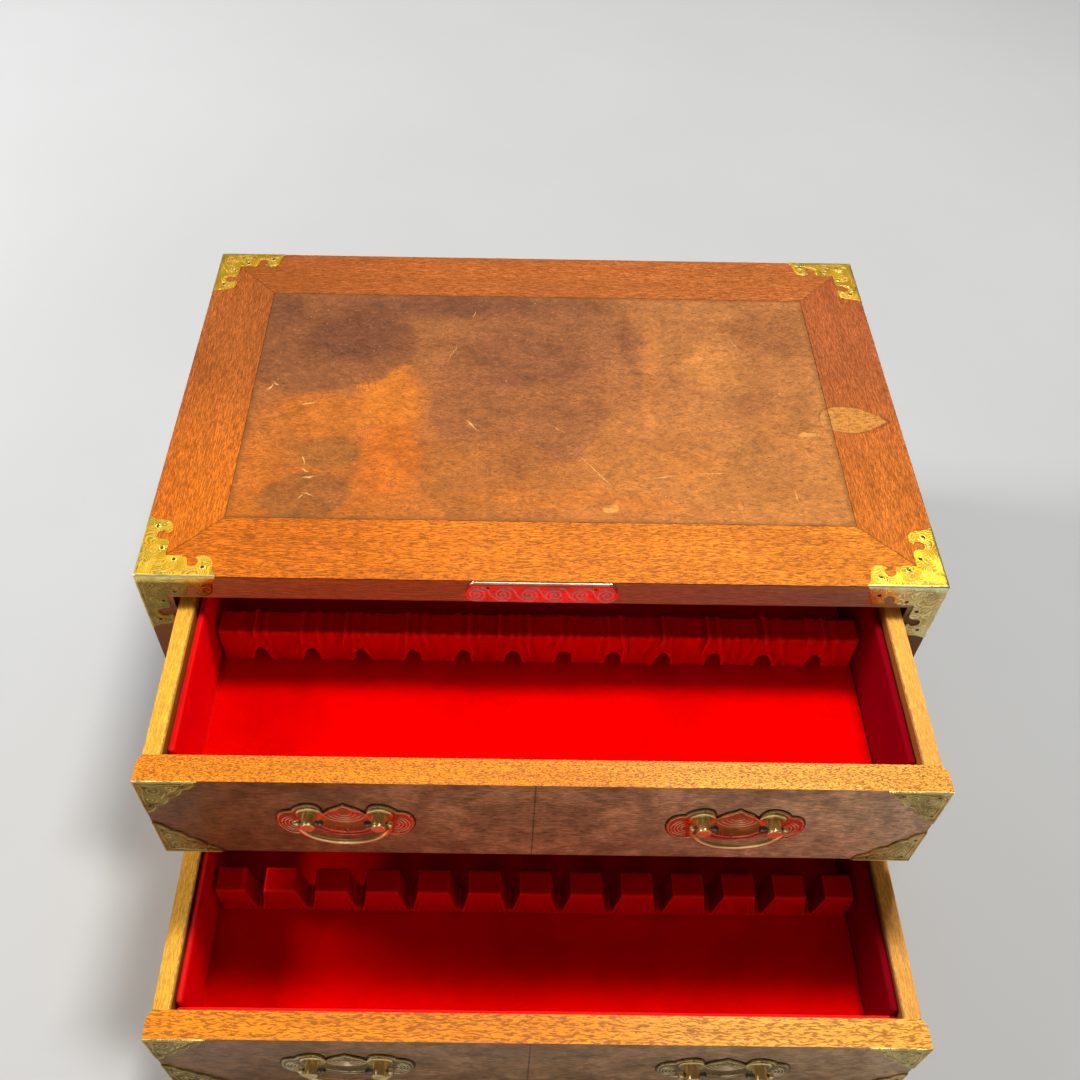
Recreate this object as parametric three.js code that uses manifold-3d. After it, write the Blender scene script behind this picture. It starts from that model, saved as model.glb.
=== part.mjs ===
// Brass-bound chest with two velvet-lined drawers, in millimetres, +Z up.
// The origin is the centre of the felt base's underside. The drawers face -Y and stand partly open.
import * as THREE from 'three';
import { mergeVertices } from 'three/addons/utils/BufferGeometryUtils.js';
import Module from 'manifold-3d';

const manifold = await Module();
manifold.setup();

// ---------------------------------------------------------------- driving dimensions

const CASE_WIDTH = 480;
const CASE_DEPTH = 324;
const TOP_Z = 232;
const BOARD = 18.5;
const SIDE_BOARD = 19;
const BACK_BOARD = 8;
const GLUE_GAP = 0.3;

const FELT = 2;
const FELT_INSET = 17;
const FELT_GAP = 0.1;

const SIDE_BORDER = 45.6;
const END_BORDER = 48;
const PANEL_THICKNESS = 12;
const PANEL_LEDGE = 8;

const DIVIDER_HEIGHT = 22;
const DIVIDER_DEPTH = 40;
const RUNNER_WIDTH = 18;
const RUNNER_HEIGHT = 10;

const FRONT_WIDTH = 440;
const FRONT_HEIGHT = 81;
const FRONT_THICKNESS = 16.3;
const FRONT_BACK_ROUNDING = 6;
const GAP_OVER_FRONT = 2.5;
const GAP_UNDER_FRONT = 2;
const DRAWER_LENGTH = 315;
const DRAWER_SIDE = 10.6;
const DRAWER_SIDE_INSET = 2.3;
const DRAWER_SIDE_DROP = 1;
const DRAWER_BACK = 10;
const DRAWER_BACK_DROP = 8;
const DRAWER_BOTTOM = 4;
const DRAWER_BOTTOM_LIFT = 10;
const DRAWER_RUNNING_GAP = 0.3;

const LINING = 4.5;
const RACK_DEPTH = 18;
const RACK_HEIGHT = 28;
const RACK_PITCH = 32;
const RACK_SLOTS = 12;
const RACK_SLOT_WIDTH = 12.4;
const ARCH_HEIGHT = 11.5;
const COMB_FOOT = 4;

const BRASS = 0.8;
const BRASS_GAP = 0.05;
const CORNER_ARM = 48;
const CORNER_ARM_WIDTH = 16;
const DRAWER_CORNER_LEG = 35;
const DRAWER_CORNER_THICKNESS = 1;
const PLAQUE_WIDTH = 93;
const PLAQUE_HEIGHT = 18;

const PULL_OFFSET = 109.7;
const PULL_DROP = 33.3;
const PLATE_THICKNESS = 1.2;
const POST_SPACING = 39;
const POST_RADIUS = 4;
const POST_LENGTH = 10;
const PIN_STANDOFF = 6.5;
const BAIL_RADIUS = 1.5;
const PIN_CLEARANCE = 0.4;
const BAIL_HALF_WIDTH = 26.7;
const BAIL_DROP = 22;
const BAIL_PIN_TIP = 11.5;
const BAIL_BALL_RADIUS = 1.8;

// Each drawer: how far it stands open, and what differs inside it.
const DRAWERS = [
  { name: 'top_drawer', open: 125, well: 58, liningDrop: 7, rackBehind: 123, rack: archRackShape },
  { name: 'bottom_drawer', open: 227, well: 50, liningDrop: 2, rackBehind: 97.5, rack: combRackShape },
];

// ---------------------------------------------------------------- sizes worked out from them

const halfWidth = CASE_WIDTH / 2;
const frontY = -CASE_DEPTH / 2;
const backY = CASE_DEPTH / 2;
const caseBottomZ = FELT;
const bottomBoardTopZ = caseBottomZ + BOARD;
const topUnderZ = TOP_Z - BOARD;
const sideInnerX = halfWidth - SIDE_BOARD;
const panelUnderZ = TOP_Z - PANEL_THICKNESS;

const topFrontTopZ = topUnderZ - GAP_OVER_FRONT;
const dividerTopZ = topFrontTopZ - FRONT_HEIGHT - GAP_UNDER_FRONT;
const dividerUnderZ = dividerTopZ - DIVIDER_HEIGHT;
const bottomFrontTopZ = dividerUnderZ - GAP_OVER_FRONT;
const frontTops = [topFrontTopZ, bottomFrontTopZ];
const drawerFloors = [dividerTopZ, bottomBoardTopZ];

// ---------------------------------------------------------------- materials

function finish(color, roughness, metalness = 0) {
  return new THREE.MeshStandardMaterial({ color, roughness, metalness });
}

const borderWood = finish('#b5652c', 0.42);
const burlVeneer = finish('#7d5230', 0.36);
const frontBurl = finish('#6a4228', 0.34);
const drawerWood = finish('#d79a4e', 0.5);
const backWood = finish('#8a5a34', 0.62);
const velvet = finish('#a80008', 0.95);
const felt = finish('#3b2a22', 0.98);
const brass = finish('#b8913f', 0.32, 0.95);

// ---------------------------------------------------------------- helpers

const chest = new THREE.Group();

function addMesh(name, geometry, material, parent = chest) {
  const mesh = new THREE.Mesh(geometry, material);
  mesh.name = name;
  parent.add(mesh);
  return mesh;
}

// A box between two corners.
function boxBetween(low, high) {
  const size = high.map((value, axis) => value - low[axis]);
  const box = new THREE.BoxGeometry(...size);
  box.translate(...low.map((value, axis) => value + size[axis] / 2));
  return box;
}

function extrude(shape, depth, curveSegments = 4) {
  return new THREE.ExtrudeGeometry(shape, { depth, bevelEnabled: false, curveSegments });
}

// Stands a shape drawn in x and z upright, with its front face at frontFaceY and its back at +Y.
function standUp(geometry, depth, frontFaceY) {
  geometry.rotateX(Math.PI / 2);
  geometry.translate(0, frontFaceY + depth, 0);
  return geometry;
}

function toSolid(geometry) {
  const bare = geometry.clone();
  bare.deleteAttribute('normal');
  bare.deleteAttribute('uv');
  const merged = mergeVertices(bare);
  const mesh = new manifold.Mesh({
    numProp: 3,
    vertProperties: new Float32Array(merged.attributes.position.array),
    triVerts: new Uint32Array(merged.index.array),
  });
  return new manifold.Manifold(mesh);
}

function toGeometry(solid) {
  const mesh = solid.getMesh();
  const geometry = new THREE.BufferGeometry();
  geometry.setAttribute('position', new THREE.BufferAttribute(mesh.vertProperties, 3));
  geometry.setIndex(new THREE.BufferAttribute(mesh.triVerts, 1));
  geometry.computeVertexNormals();
  return geometry;
}

function join(geometries) {
  const solids = geometries.map(toSolid);
  return solids.reduce((whole, piece) => whole.add(piece));
}

// Mirrors a geometry along one axis and turns its faces outward again.
function mirrored(geometry, axis) {
  const scale = [1, 1, 1];
  scale['xyz'.indexOf(axis)] = -1;
  const flipped = geometry.clone().scale(...scale);
  const count = flipped.attributes.position.count;
  const index = flipped.index
    ? Array.from(flipped.index.array)
    : Array.from({ length: count }, (_, at) => at);
  for (let corner = 0; corner < index.length; corner += 3) {
    const second = index[corner + 1];
    index[corner + 1] = index[corner + 2];
    index[corner + 2] = second;
  }
  flipped.setIndex(index);
  flipped.computeVertexNormals();
  return flipped;
}

// ---------------------------------------------------------------- case

// A mitred member of the top frame that runs along X at the front, with a ledge under the panel.
// mitreRun is how much the mitre shortens each end for each millimetre towards the middle.
function frameMember(length, width, ledge, mitreRun) {
  const layers = [
    [topUnderZ, panelUnderZ, width + ledge],
    [panelUnderZ, TOP_Z, width],
  ];
  const pieces = layers.map(([lowZ, highZ, reach]) => {
    const outer = length / 2 - GLUE_GAP;
    const inner = outer - reach * mitreRun;
    const plan = new THREE.Shape();
    plan.moveTo(-outer, 0);
    plan.lineTo(outer, 0);
    plan.lineTo(inner, reach);
    plan.lineTo(-inner, reach);
    const layer = extrude(plan, highZ - lowZ);
    layer.translate(0, 0, lowZ);
    return layer;
  });
  return toGeometry(join(pieces));
}

function addTopFrame() {
  const endRun = SIDE_BORDER / END_BORDER;
  const sideLedge = PANEL_LEDGE * endRun;
  const along = frameMember(CASE_WIDTH, END_BORDER, PANEL_LEDGE, endRun);
  addMesh('top_frame_front', along.clone().translate(0, frontY, 0), borderWood);
  addMesh('top_frame_back', along.clone().rotateZ(Math.PI).translate(0, backY, 0), borderWood);
  const across = frameMember(CASE_DEPTH, SIDE_BORDER, sideLedge, 1 / endRun);
  addMesh('top_frame_left', across.clone().rotateZ(-Math.PI / 2).translate(-halfWidth, 0, 0), borderWood);
  addMesh('top_frame_right', across.clone().rotateZ(Math.PI / 2).translate(halfWidth, 0, 0), borderWood);
}

function addTopPanel() {
  const halfX = halfWidth - SIDE_BORDER - GLUE_GAP;
  const halfY = backY - END_BORDER - GLUE_GAP;
  const panel = boxBetween([-halfX, -halfY, panelUnderZ + GLUE_GAP], [halfX, halfY, TOP_Z]);
  addMesh('top_panel', panel, burlVeneer);
}

function addCaseBoards() {
  const sideTopZ = topUnderZ - GLUE_GAP;
  const innerX = sideInnerX - GLUE_GAP;
  const side = boxBetween([sideInnerX, frontY, caseBottomZ], [halfWidth, backY, sideTopZ]);
  addMesh('case_side_right', side, borderWood);
  addMesh('case_side_left', mirrored(side, 'x'), borderWood);
  const bottom = boxBetween([-innerX, frontY, caseBottomZ], [innerX, backY, bottomBoardTopZ]);
  addMesh('case_bottom', bottom, borderWood);
  const backLow = [-innerX, backY - BACK_BOARD, bottomBoardTopZ + GLUE_GAP];
  addMesh('case_back', boxBetween(backLow, [innerX, backY, sideTopZ]), backWood);
  const feltX = halfWidth - FELT_INSET;
  const feltY = backY - FELT_INSET;
  addMesh('felt_base', boxBetween([-feltX, -feltY, 0], [feltX, feltY, FELT - FELT_GAP]), felt);
}

function addDivider() {
  const innerX = sideInnerX - GLUE_GAP;
  const dividerBackY = frontY + DIVIDER_DEPTH;
  const rail = boxBetween([-innerX, frontY, dividerUnderZ], [innerX, dividerBackY, dividerTopZ]);
  addMesh('divider_rail', rail, borderWood);
  const runnerLow = [innerX - RUNNER_WIDTH, dividerBackY + GLUE_GAP, dividerTopZ - RUNNER_HEIGHT];
  const runnerHigh = [innerX, backY - BACK_BOARD - GLUE_GAP, dividerTopZ];
  const runner = boxBetween(runnerLow, runnerHigh);
  addMesh('runner_right', runner, drawerWood);
  addMesh('runner_left', mirrored(runner, 'x'), drawerWood);
}

// ---------------------------------------------------------------- case brasses

// One arm of a corner brass, from the inner corner out to the tip: a shoulder, a round notch
// and a hooked lobe that ends in a point on the edge.
function armOutline(width) {
  const arm = new THREE.Path();
  const notchAt = CORNER_ARM * 0.68;
  const notchRadius = 3.2;
  const notchDepth = width - 5.2;
  arm.moveTo(width, width);
  arm.lineTo(notchAt - 7, width);
  arm.quadraticCurveTo(notchAt - notchRadius, width, notchAt - notchRadius, notchDepth);
  arm.absarc(notchAt, notchDepth, notchRadius, Math.PI, 2 * Math.PI, false);
  arm.quadraticCurveTo(notchAt + notchRadius, width - 3, notchAt + 1, width - 2);
  arm.quadraticCurveTo(notchAt + 2.5, width + 0.6, notchAt + 6, width + 0.4);
  arm.quadraticCurveTo(CORNER_ARM - 3, width, CORNER_ARM - 3, width - 8);
  arm.quadraticCurveTo(CORNER_ARM - 2.5, 4, CORNER_ARM, 0);
  return arm.getPoints(3);
}

// An L-shaped face: one arm along x and one along y, whose widths differ.
function cornerFace(widthAlongX, widthAlongY) {
  const alongX = armOutline(widthAlongX);
  const alongY = armOutline(widthAlongY).map((point) => new THREE.Vector2(point.y, point.x));
  const outline = new THREE.Shape();
  outline.moveTo(-BRASS, -BRASS);
  outline.lineTo(CORNER_ARM, -BRASS);
  alongX.slice(1).reverse().forEach((point) => outline.lineTo(point.x, point.y));
  outline.lineTo(widthAlongY, widthAlongX);
  alongY.slice(1).forEach((point) => outline.lineTo(point.x, point.y));
  outline.lineTo(-BRASS, CORNER_ARM);
  return extrude(outline, BRASS);
}

// The brass of the corner at low x, low y and low z, with its corner at the origin.
function cornerBrass() {
  const onTop = cornerFace(CORNER_ARM_WIDTH, CORNER_ARM_WIDTH).translate(0, 0, -BRASS);
  const onFront = cornerFace(CORNER_ARM_WIDTH, CORNER_ARM_WIDTH);
  onFront.rotateX(Math.PI / 2);
  const onSide = cornerFace(CORNER_ARM_WIDTH, CORNER_ARM_WIDTH);
  onSide.rotateY(-Math.PI / 2);
  return toGeometry(join([onTop, onFront, onSide]));
}

function addCaseBrasses() {
  const corner = cornerBrass();
  const levels = [['bottom', caseBottomZ, 1], ['top', TOP_Z, -1]];
  const depths = [['front', frontY, 1], ['back', backY, -1]];
  const sides = [['left', -halfWidth, 1], ['right', halfWidth, -1]];
  for (const [level, z, up] of levels) {
    for (const [depth, y, inward] of depths) {
      for (const [side, x, across] of sides) {
        let piece = corner.clone();
        if (up < 0) piece = mirrored(piece, 'z');
        if (inward < 0) piece = mirrored(piece, 'y');
        if (across < 0) piece = mirrored(piece, 'x');
        piece.translate(x - across * BRASS_GAP, y - inward * BRASS_GAP, z - up * BRASS_GAP);
        addMesh(`corner_${level}_${depth}_${side}`, piece, brass);
      }
    }
  }
}

function addPlaque() {
  const half = PLAQUE_WIDTH / 2;
  const lobe = PLAQUE_HEIGHT / 4;
  const outline = new THREE.Shape();
  const top = PLAQUE_HEIGHT / 2;
  outline.moveTo(-half + 2 * lobe, -top);
  outline.lineTo(half - 2 * lobe, -top);
  outline.absarc(half - 2 * lobe, -top + lobe, lobe, -Math.PI / 2, 0, false);
  outline.absarc(half - lobe, 0, lobe, -Math.PI / 2, Math.PI / 2, false);
  outline.absarc(half - 2 * lobe, top - lobe, lobe, 0, Math.PI / 2, false);
  outline.lineTo(-half + 2 * lobe, top);
  outline.absarc(-half + 2 * lobe, top - lobe, lobe, Math.PI / 2, Math.PI, false);
  outline.absarc(-half + lobe, 0, lobe, Math.PI / 2, 1.5 * Math.PI, false);
  outline.absarc(-half + 2 * lobe, -top + lobe, lobe, Math.PI, 1.5 * Math.PI, false);
  const plaque = standUp(extrude(outline, BRASS), BRASS, frontY - BRASS - BRASS_GAP);
  addMesh('front_plaque', plaque.translate(0, 0, TOP_Z - BOARD / 2), brass);
}

// ---------------------------------------------------------------- drawer boxes

function drawerFront() {
  const half = FRONT_WIDTH / 2;
  const round = FRONT_BACK_ROUNDING;
  const plan = new THREE.Shape();
  plan.moveTo(-half, 0);
  plan.lineTo(half, 0);
  plan.lineTo(half, FRONT_THICKNESS - round);
  plan.absarc(half - round, FRONT_THICKNESS - round, round, 0, Math.PI / 2, false);
  plan.lineTo(-half + round, FRONT_THICKNESS);
  plan.absarc(-half + round, FRONT_THICKNESS - round, round, Math.PI / 2, Math.PI, false);
  return extrude(plan, FRONT_HEIGHT);
}

// A rack across the drawer with a row of arches along its foot, drawn in x and z.
function archRackShape(halfLength) {
  const outline = new THREE.Shape();
  const radius = RACK_SLOT_WIDTH / 2;
  outline.moveTo(-halfLength, 0);
  for (let slot = 0; slot < RACK_SLOTS; slot += 1) {
    const middle = (slot - (RACK_SLOTS - 1) / 2) * RACK_PITCH;
    outline.lineTo(middle - radius, 0);
    outline.lineTo(middle - radius, ARCH_HEIGHT - radius);
    outline.absarc(middle, ARCH_HEIGHT - radius, radius, Math.PI, 0, true);
    outline.lineTo(middle + radius, 0);
  }
  outline.lineTo(halfLength, 0);
  outline.lineTo(halfLength, RACK_HEIGHT);
  outline.lineTo(-halfLength, RACK_HEIGHT);
  return outline;
}

// A rack cut from above into blocks by round-bottomed slots, drawn in x and z.
function combRackShape(halfLength) {
  const outline = new THREE.Shape();
  const radius = RACK_SLOT_WIDTH / 2;
  outline.moveTo(-halfLength, 0);
  outline.lineTo(halfLength, 0);
  outline.lineTo(halfLength, RACK_HEIGHT);
  for (let slot = RACK_SLOTS - 1; slot >= 0; slot -= 1) {
    const middle = (slot - (RACK_SLOTS - 1) / 2) * RACK_PITCH;
    outline.lineTo(middle + radius, RACK_HEIGHT);
    outline.lineTo(middle + radius, COMB_FOOT + radius);
    outline.absarc(middle, COMB_FOOT + radius, radius, 0, Math.PI, true);
    outline.lineTo(middle - radius, RACK_HEIGHT);
  }
  outline.lineTo(-halfLength, RACK_HEIGHT);
  return outline;
}

// A triangular brass for a drawer front's corner, with its square corner at the origin.
function drawerCorner() {
  const leg = DRAWER_CORNER_LEG;
  const scallops = 4;
  const depth = leg * 0.075;
  const outline = new THREE.Shape();
  outline.moveTo(0, 0);
  outline.lineTo(leg, 0);
  for (let scallop = 0; scallop < scallops; scallop += 1) {
    const start = 1 - scallop / scallops;
    const end = 1 - (scallop + 1) / scallops;
    const middle = (start + end) / 2;
    outline.quadraticCurveTo(leg * middle + depth, leg * (1 - middle) + depth, leg * end, leg * (1 - end));
  }
  return extrude(outline, DRAWER_CORNER_THICKNESS, 3);
}

// The fretted plate behind a pull, drawn round the height of its pin.
function pullPlateShape() {
  const half = [
    [3, 8.5, 6, 7],
    [9.5, 5, 12, 1],
    [12.5, 8, 16, 10.3],
    [19.5, 12, 24, 9.5],
    [28, 7.5, 29.5, 3.9],
    [36, 4, 38, -2],
    [40.5, -10, 36.5, -17],
    [33.5, -23.5, 27, -23],
    [21, -22.5, 18.5, -17.5],
    [15, -18.5, 13, -20.5],
    [7, -24.8, 0, -24.3],
  ];
  const crown = 11.3;
  const outline = new THREE.Shape();
  outline.moveTo(0, crown);
  half.forEach((curve) => outline.quadraticCurveTo(...curve));
  for (let step = half.length - 1; step >= 0; step -= 1) {
    const [controlX, controlZ] = half[step];
    const [endX, endZ] = step > 0 ? half[step - 1].slice(2) : [0, crown];
    outline.quadraticCurveTo(-controlX, controlZ, -endX, endZ);
  }
  return outline;
}

// A pull's plate with its two posts, each bored across for the bail's pin.
function pullPlate() {
  const plate = extrude(pullPlateShape(), PLATE_THICKNESS, 2);
  const pieces = [standUp(plate, PLATE_THICKNESS, -PLATE_THICKNESS - BRASS_GAP)];
  for (const side of [-1, 1]) {
    const post = new THREE.CylinderGeometry(POST_RADIUS, POST_RADIUS, POST_LENGTH, 16);
    post.translate(side * POST_SPACING / 2, -POST_LENGTH / 2 - BRASS_GAP, 0);
    pieces.push(post);
  }
  const bore = new THREE.CylinderGeometry(BAIL_RADIUS + PIN_CLEARANCE, BAIL_RADIUS + PIN_CLEARANCE,
    POST_SPACING * 2, 12);
  bore.rotateZ(Math.PI / 2);
  bore.translate(0, -PIN_STANDOFF, 0);
  return toGeometry(join(pieces).subtract(toSolid(bore)));
}

// The swinging bail: a pin through each post, a ball outside it and a half-oval grip.
function bail() {
  const ballX = BAIL_HALF_WIDTH - BAIL_RADIUS * 0.6;
  const route = [];
  const gripSteps = 14;
  route.push(new THREE.Vector3(-BAIL_PIN_TIP, 0, 0));
  route.push(new THREE.Vector3(-ballX, 0, 0));
  for (let step = 0; step <= gripSteps; step += 1) {
    const angle = Math.PI * (0.06 + 0.88 * step / gripSteps);
    route.push(new THREE.Vector3(-BAIL_HALF_WIDTH * Math.cos(angle), 0, -BAIL_DROP * Math.sin(angle)));
  }
  route.push(new THREE.Vector3(ballX, 0, 0));
  route.push(new THREE.Vector3(BAIL_PIN_TIP, 0, 0));
  const section = new THREE.Shape().absarc(0, 0, BAIL_RADIUS, 0, 2 * Math.PI, false);
  const path = new THREE.CurvePath();
  for (let step = 0; step + 1 < route.length; step += 1) {
    path.add(new THREE.LineCurve3(route[step], route[step + 1]));
  }
  const tube = new THREE.ExtrudeGeometry(section, {
    extrudePath: path,
    steps: 30,
    curveSegments: 4,
    bevelEnabled: false,
  });
  const pieces = [tube];
  for (const side of [-1, 1]) {
    const ball = new THREE.SphereGeometry(BAIL_BALL_RADIUS, 8, 6);
    pieces.push(ball.translate(side * ballX, 0, 0));
  }
  return toGeometry(join(pieces));
}

function addDrawerBrasses(name, drawer, frontTopZ) {
  const cornerFaceY = -DRAWER_CORNER_THICKNESS - BRASS_GAP;
  const corner = standUp(drawerCorner(), DRAWER_CORNER_THICKNESS, cornerFaceY);
  const halfX = FRONT_WIDTH / 2;
  const corners = [
    ['top', 'left', frontTopZ],
    ['top', 'right', frontTopZ],
    ['bottom', 'left', frontTopZ - FRONT_HEIGHT],
    ['bottom', 'right', frontTopZ - FRONT_HEIGHT],
  ];
  for (const [level, side, z] of corners) {
    let piece = corner.clone();
    if (level === 'top') piece = mirrored(piece, 'z');
    if (side === 'right') piece = mirrored(piece, 'x');
    piece.translate(side === 'right' ? halfX : -halfX, 0, z);
    addMesh(`${name}_corner_${level}_${side}`, piece, brass, drawer);
  }
  const pinZ = frontTopZ - PULL_DROP;
  for (const [side, x] of [['left', -PULL_OFFSET], ['right', PULL_OFFSET]]) {
    addMesh(`${name}_pull_plate_${side}`, pullPlate(), brass, drawer).position.set(x, 0, pinZ);
    addMesh(`${name}_bail_${side}`, bail(), brass, drawer).position.set(x, -PIN_STANDOFF, pinZ);
  }
}

function addDrawer({ name, open, well, liningDrop, rackBehind, rack }, frontTopZ, floorZ) {
  const drawer = new THREE.Group();
  drawer.position.y = frontY - open;
  chest.add(drawer);

  const frontBottomZ = frontTopZ - FRONT_HEIGHT;
  addMesh(`${name}_front`, drawerFront(), frontBurl, drawer).position.z = frontBottomZ;

  const sideOuterX = FRONT_WIDTH / 2 - DRAWER_SIDE_INSET;
  const sideInner = sideOuterX - DRAWER_SIDE;
  const boxFrontY = FRONT_THICKNESS + GLUE_GAP;
  const sideLowZ = floorZ + DRAWER_RUNNING_GAP;
  const sideTopZ = frontTopZ - DRAWER_SIDE_DROP;
  const side = boxBetween([sideInner, boxFrontY, sideLowZ], [sideOuterX, DRAWER_LENGTH, sideTopZ]);
  addMesh(`${name}_side_right`, side, drawerWood, drawer);
  addMesh(`${name}_side_left`, mirrored(side, 'x'), drawerWood, drawer);

  const innerX = sideInner - GLUE_GAP;
  const backFaceY = DRAWER_LENGTH - DRAWER_BACK;
  const backTopZ = sideTopZ - DRAWER_BACK_DROP;
  const back = boxBetween([-innerX, backFaceY, sideLowZ], [innerX, DRAWER_LENGTH, backTopZ]);
  addMesh(`${name}_back`, back, drawerWood, drawer);

  const bottomZ = sideLowZ + DRAWER_BOTTOM_LIFT;
  const boxBackY = backFaceY - GLUE_GAP;
  const bottomTopZ = bottomZ + DRAWER_BOTTOM;
  const bottom = boxBetween([-innerX, boxFrontY, bottomZ], [innerX, boxBackY, bottomTopZ]);
  addMesh(`${name}_bottom`, bottom, backWood, drawer);

  const padTopZ = frontTopZ - well;
  const pad = boxBetween([-innerX, boxFrontY, bottomTopZ + GLUE_GAP], [innerX, boxBackY, padTopZ]);
  addMesh(`${name}_floor_pad`, pad, velvet, drawer);

  const liningLowZ = padTopZ + GLUE_GAP;
  const liningTopZ = sideTopZ - liningDrop;
  const frontLiningBack = boxFrontY + LINING;
  const frontLining = boxBetween([-innerX, boxFrontY, liningLowZ], [innerX, frontLiningBack, liningTopZ]);
  addMesh(`${name}_lining_front`, frontLining, velvet, drawer);
  const liningLow = [innerX - LINING, frontLiningBack + GLUE_GAP, liningLowZ];
  const sideLining = boxBetween(liningLow, [innerX, boxBackY, liningTopZ]);
  addMesh(`${name}_lining_right`, sideLining, velvet, drawer);
  addMesh(`${name}_lining_left`, mirrored(sideLining, 'x'), velvet, drawer);

  const rackSolid = extrude(rack(innerX - LINING - GLUE_GAP), RACK_DEPTH, 4);
  const rackGeometry = standUp(rackSolid, RACK_DEPTH, rackBehind);
  addMesh(`${name}_rack`, rackGeometry, velvet, drawer).position.z = liningLowZ;

  addDrawerBrasses(name, drawer, frontTopZ);
}

// ---------------------------------------------------------------- assembly

addTopFrame();
addTopPanel();
addCaseBoards();
addDivider();
addCaseBrasses();
addPlaque();
DRAWERS.forEach((drawer, place) => addDrawer(drawer, frontTops[place], drawerFloors[place]));

export default chest;
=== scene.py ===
import math

import bpy
import numpy as np
from mathutils import Matrix, Vector, noise


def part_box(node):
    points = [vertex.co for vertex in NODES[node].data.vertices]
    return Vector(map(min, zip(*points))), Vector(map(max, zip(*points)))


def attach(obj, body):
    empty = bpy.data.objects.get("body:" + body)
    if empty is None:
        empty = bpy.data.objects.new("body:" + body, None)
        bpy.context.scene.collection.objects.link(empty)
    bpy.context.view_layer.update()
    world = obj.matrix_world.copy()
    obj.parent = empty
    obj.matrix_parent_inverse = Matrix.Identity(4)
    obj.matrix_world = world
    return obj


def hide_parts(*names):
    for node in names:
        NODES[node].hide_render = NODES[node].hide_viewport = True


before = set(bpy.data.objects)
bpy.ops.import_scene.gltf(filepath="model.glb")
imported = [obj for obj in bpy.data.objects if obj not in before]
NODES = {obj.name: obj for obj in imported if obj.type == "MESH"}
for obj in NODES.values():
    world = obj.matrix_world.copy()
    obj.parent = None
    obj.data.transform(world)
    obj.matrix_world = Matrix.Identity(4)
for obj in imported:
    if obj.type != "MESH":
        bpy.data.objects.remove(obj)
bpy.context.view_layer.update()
MM = 0.001

DRAWERS = ("top_drawer", "bottom_drawer")
SIDES = ("left", "right")


# -------- camera, floor and light

CAMERA_PLACE = (-0.0249, -0.5815, 0.7252)
CAMERA_FORWARD = (0.00582, 0.60633, -0.79519)
CAMERA_RIGHT = (0.99988, 0.00792, 0.01336)
CAMERA_SENSOR = 36.0
CAMERA_LENS = 36.67
CAMERA_SHIFT = (0.032, 0.0927)

# Each lamp: where it is, what it looks at, its width and height, its power and its colour.
LAMPS = {
    "overhead_lamp": ((0.25, 0.24, 1.65), (0.0, -0.16, 0.15), (0.36, 0.20), 25.5, (1.0, 0.985, 0.955)),
    "back_card": ((0.0, 1.7, 2.5), (0, -0.1, 0.2), (3.0, 1.5), 13, (1, 1, 1)),
    "left_card": ((-1.9, 0.25, 1.45), (0, 0, 0.1), (0.6, 0.6), 34, (1, 1, 1)),
    "front_card": ((0.2, -2.6, 0.75), (0, -0.2, 0.1), (2.4, 0.7), 7.5, (1, 1, 1)),
    "glint_card": ((-0.35, -1.7, 1.45), (0, -0.25, 0.2), (0.9, 0.7), 2.4, (1, 1, 1)),
}
FLOOR_SIZE = 14
WORLD_GREY = 0.9
WORLD_STRENGTH = 0.06


def add_camera():
    """The camera stands in front of the chest and well above it, and looks steeply down at it."""
    data = bpy.data.cameras.new("camera")
    data.sensor_width = CAMERA_SENSOR
    data.lens = CAMERA_LENS
    data.shift_x, data.shift_y = CAMERA_SHIFT
    data.clip_end = 50.0
    camera = bpy.data.objects.new("camera", data)
    bpy.context.scene.collection.objects.link(camera)
    forward, right = Vector(CAMERA_FORWARD).normalized(), Vector(CAMERA_RIGHT)
    right = (right - forward * right.dot(forward)).normalized()
    turned = Matrix((right, right.cross(forward), -forward)).transposed()
    camera.matrix_world = Matrix.Translation(CAMERA_PLACE) @ turned.to_4x4()
    bpy.context.scene.camera = camera


def add_studio():
    """One soft lamp above and a little behind the chest, pale cards round it and a plain pale floor."""
    for name, (place, aim, size, power, colour) in LAMPS.items():
        data = bpy.data.lights.new(name, "AREA")
        data.shape = "RECTANGLE"
        data.size, data.size_y = size
        data.energy = power
        data.color = colour
        light = bpy.data.objects.new(name, data)
        light.location = place
        light.rotation_euler = (Vector(aim) - Vector(place)).to_track_quat("-Z", "Y").to_euler()
        bpy.context.scene.collection.objects.link(light)
    world = bpy.data.worlds.new("studio")
    world.use_nodes = True
    background = world.node_tree.nodes["Background"]
    background.inputs["Color"].default_value = (WORLD_GREY, WORLD_GREY, WORLD_GREY, 1)
    background.inputs["Strength"].default_value = WORLD_STRENGTH
    bpy.context.scene.world = world
    bpy.context.scene.view_settings.view_transform = "Standard"

    bpy.ops.mesh.primitive_plane_add(size=FLOOR_SIZE, location=(0, 0, 0))
    floor = bpy.context.object
    floor.name = "floor"
    floor.data.materials.append(floor_material())


# -------- material helpers

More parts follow.
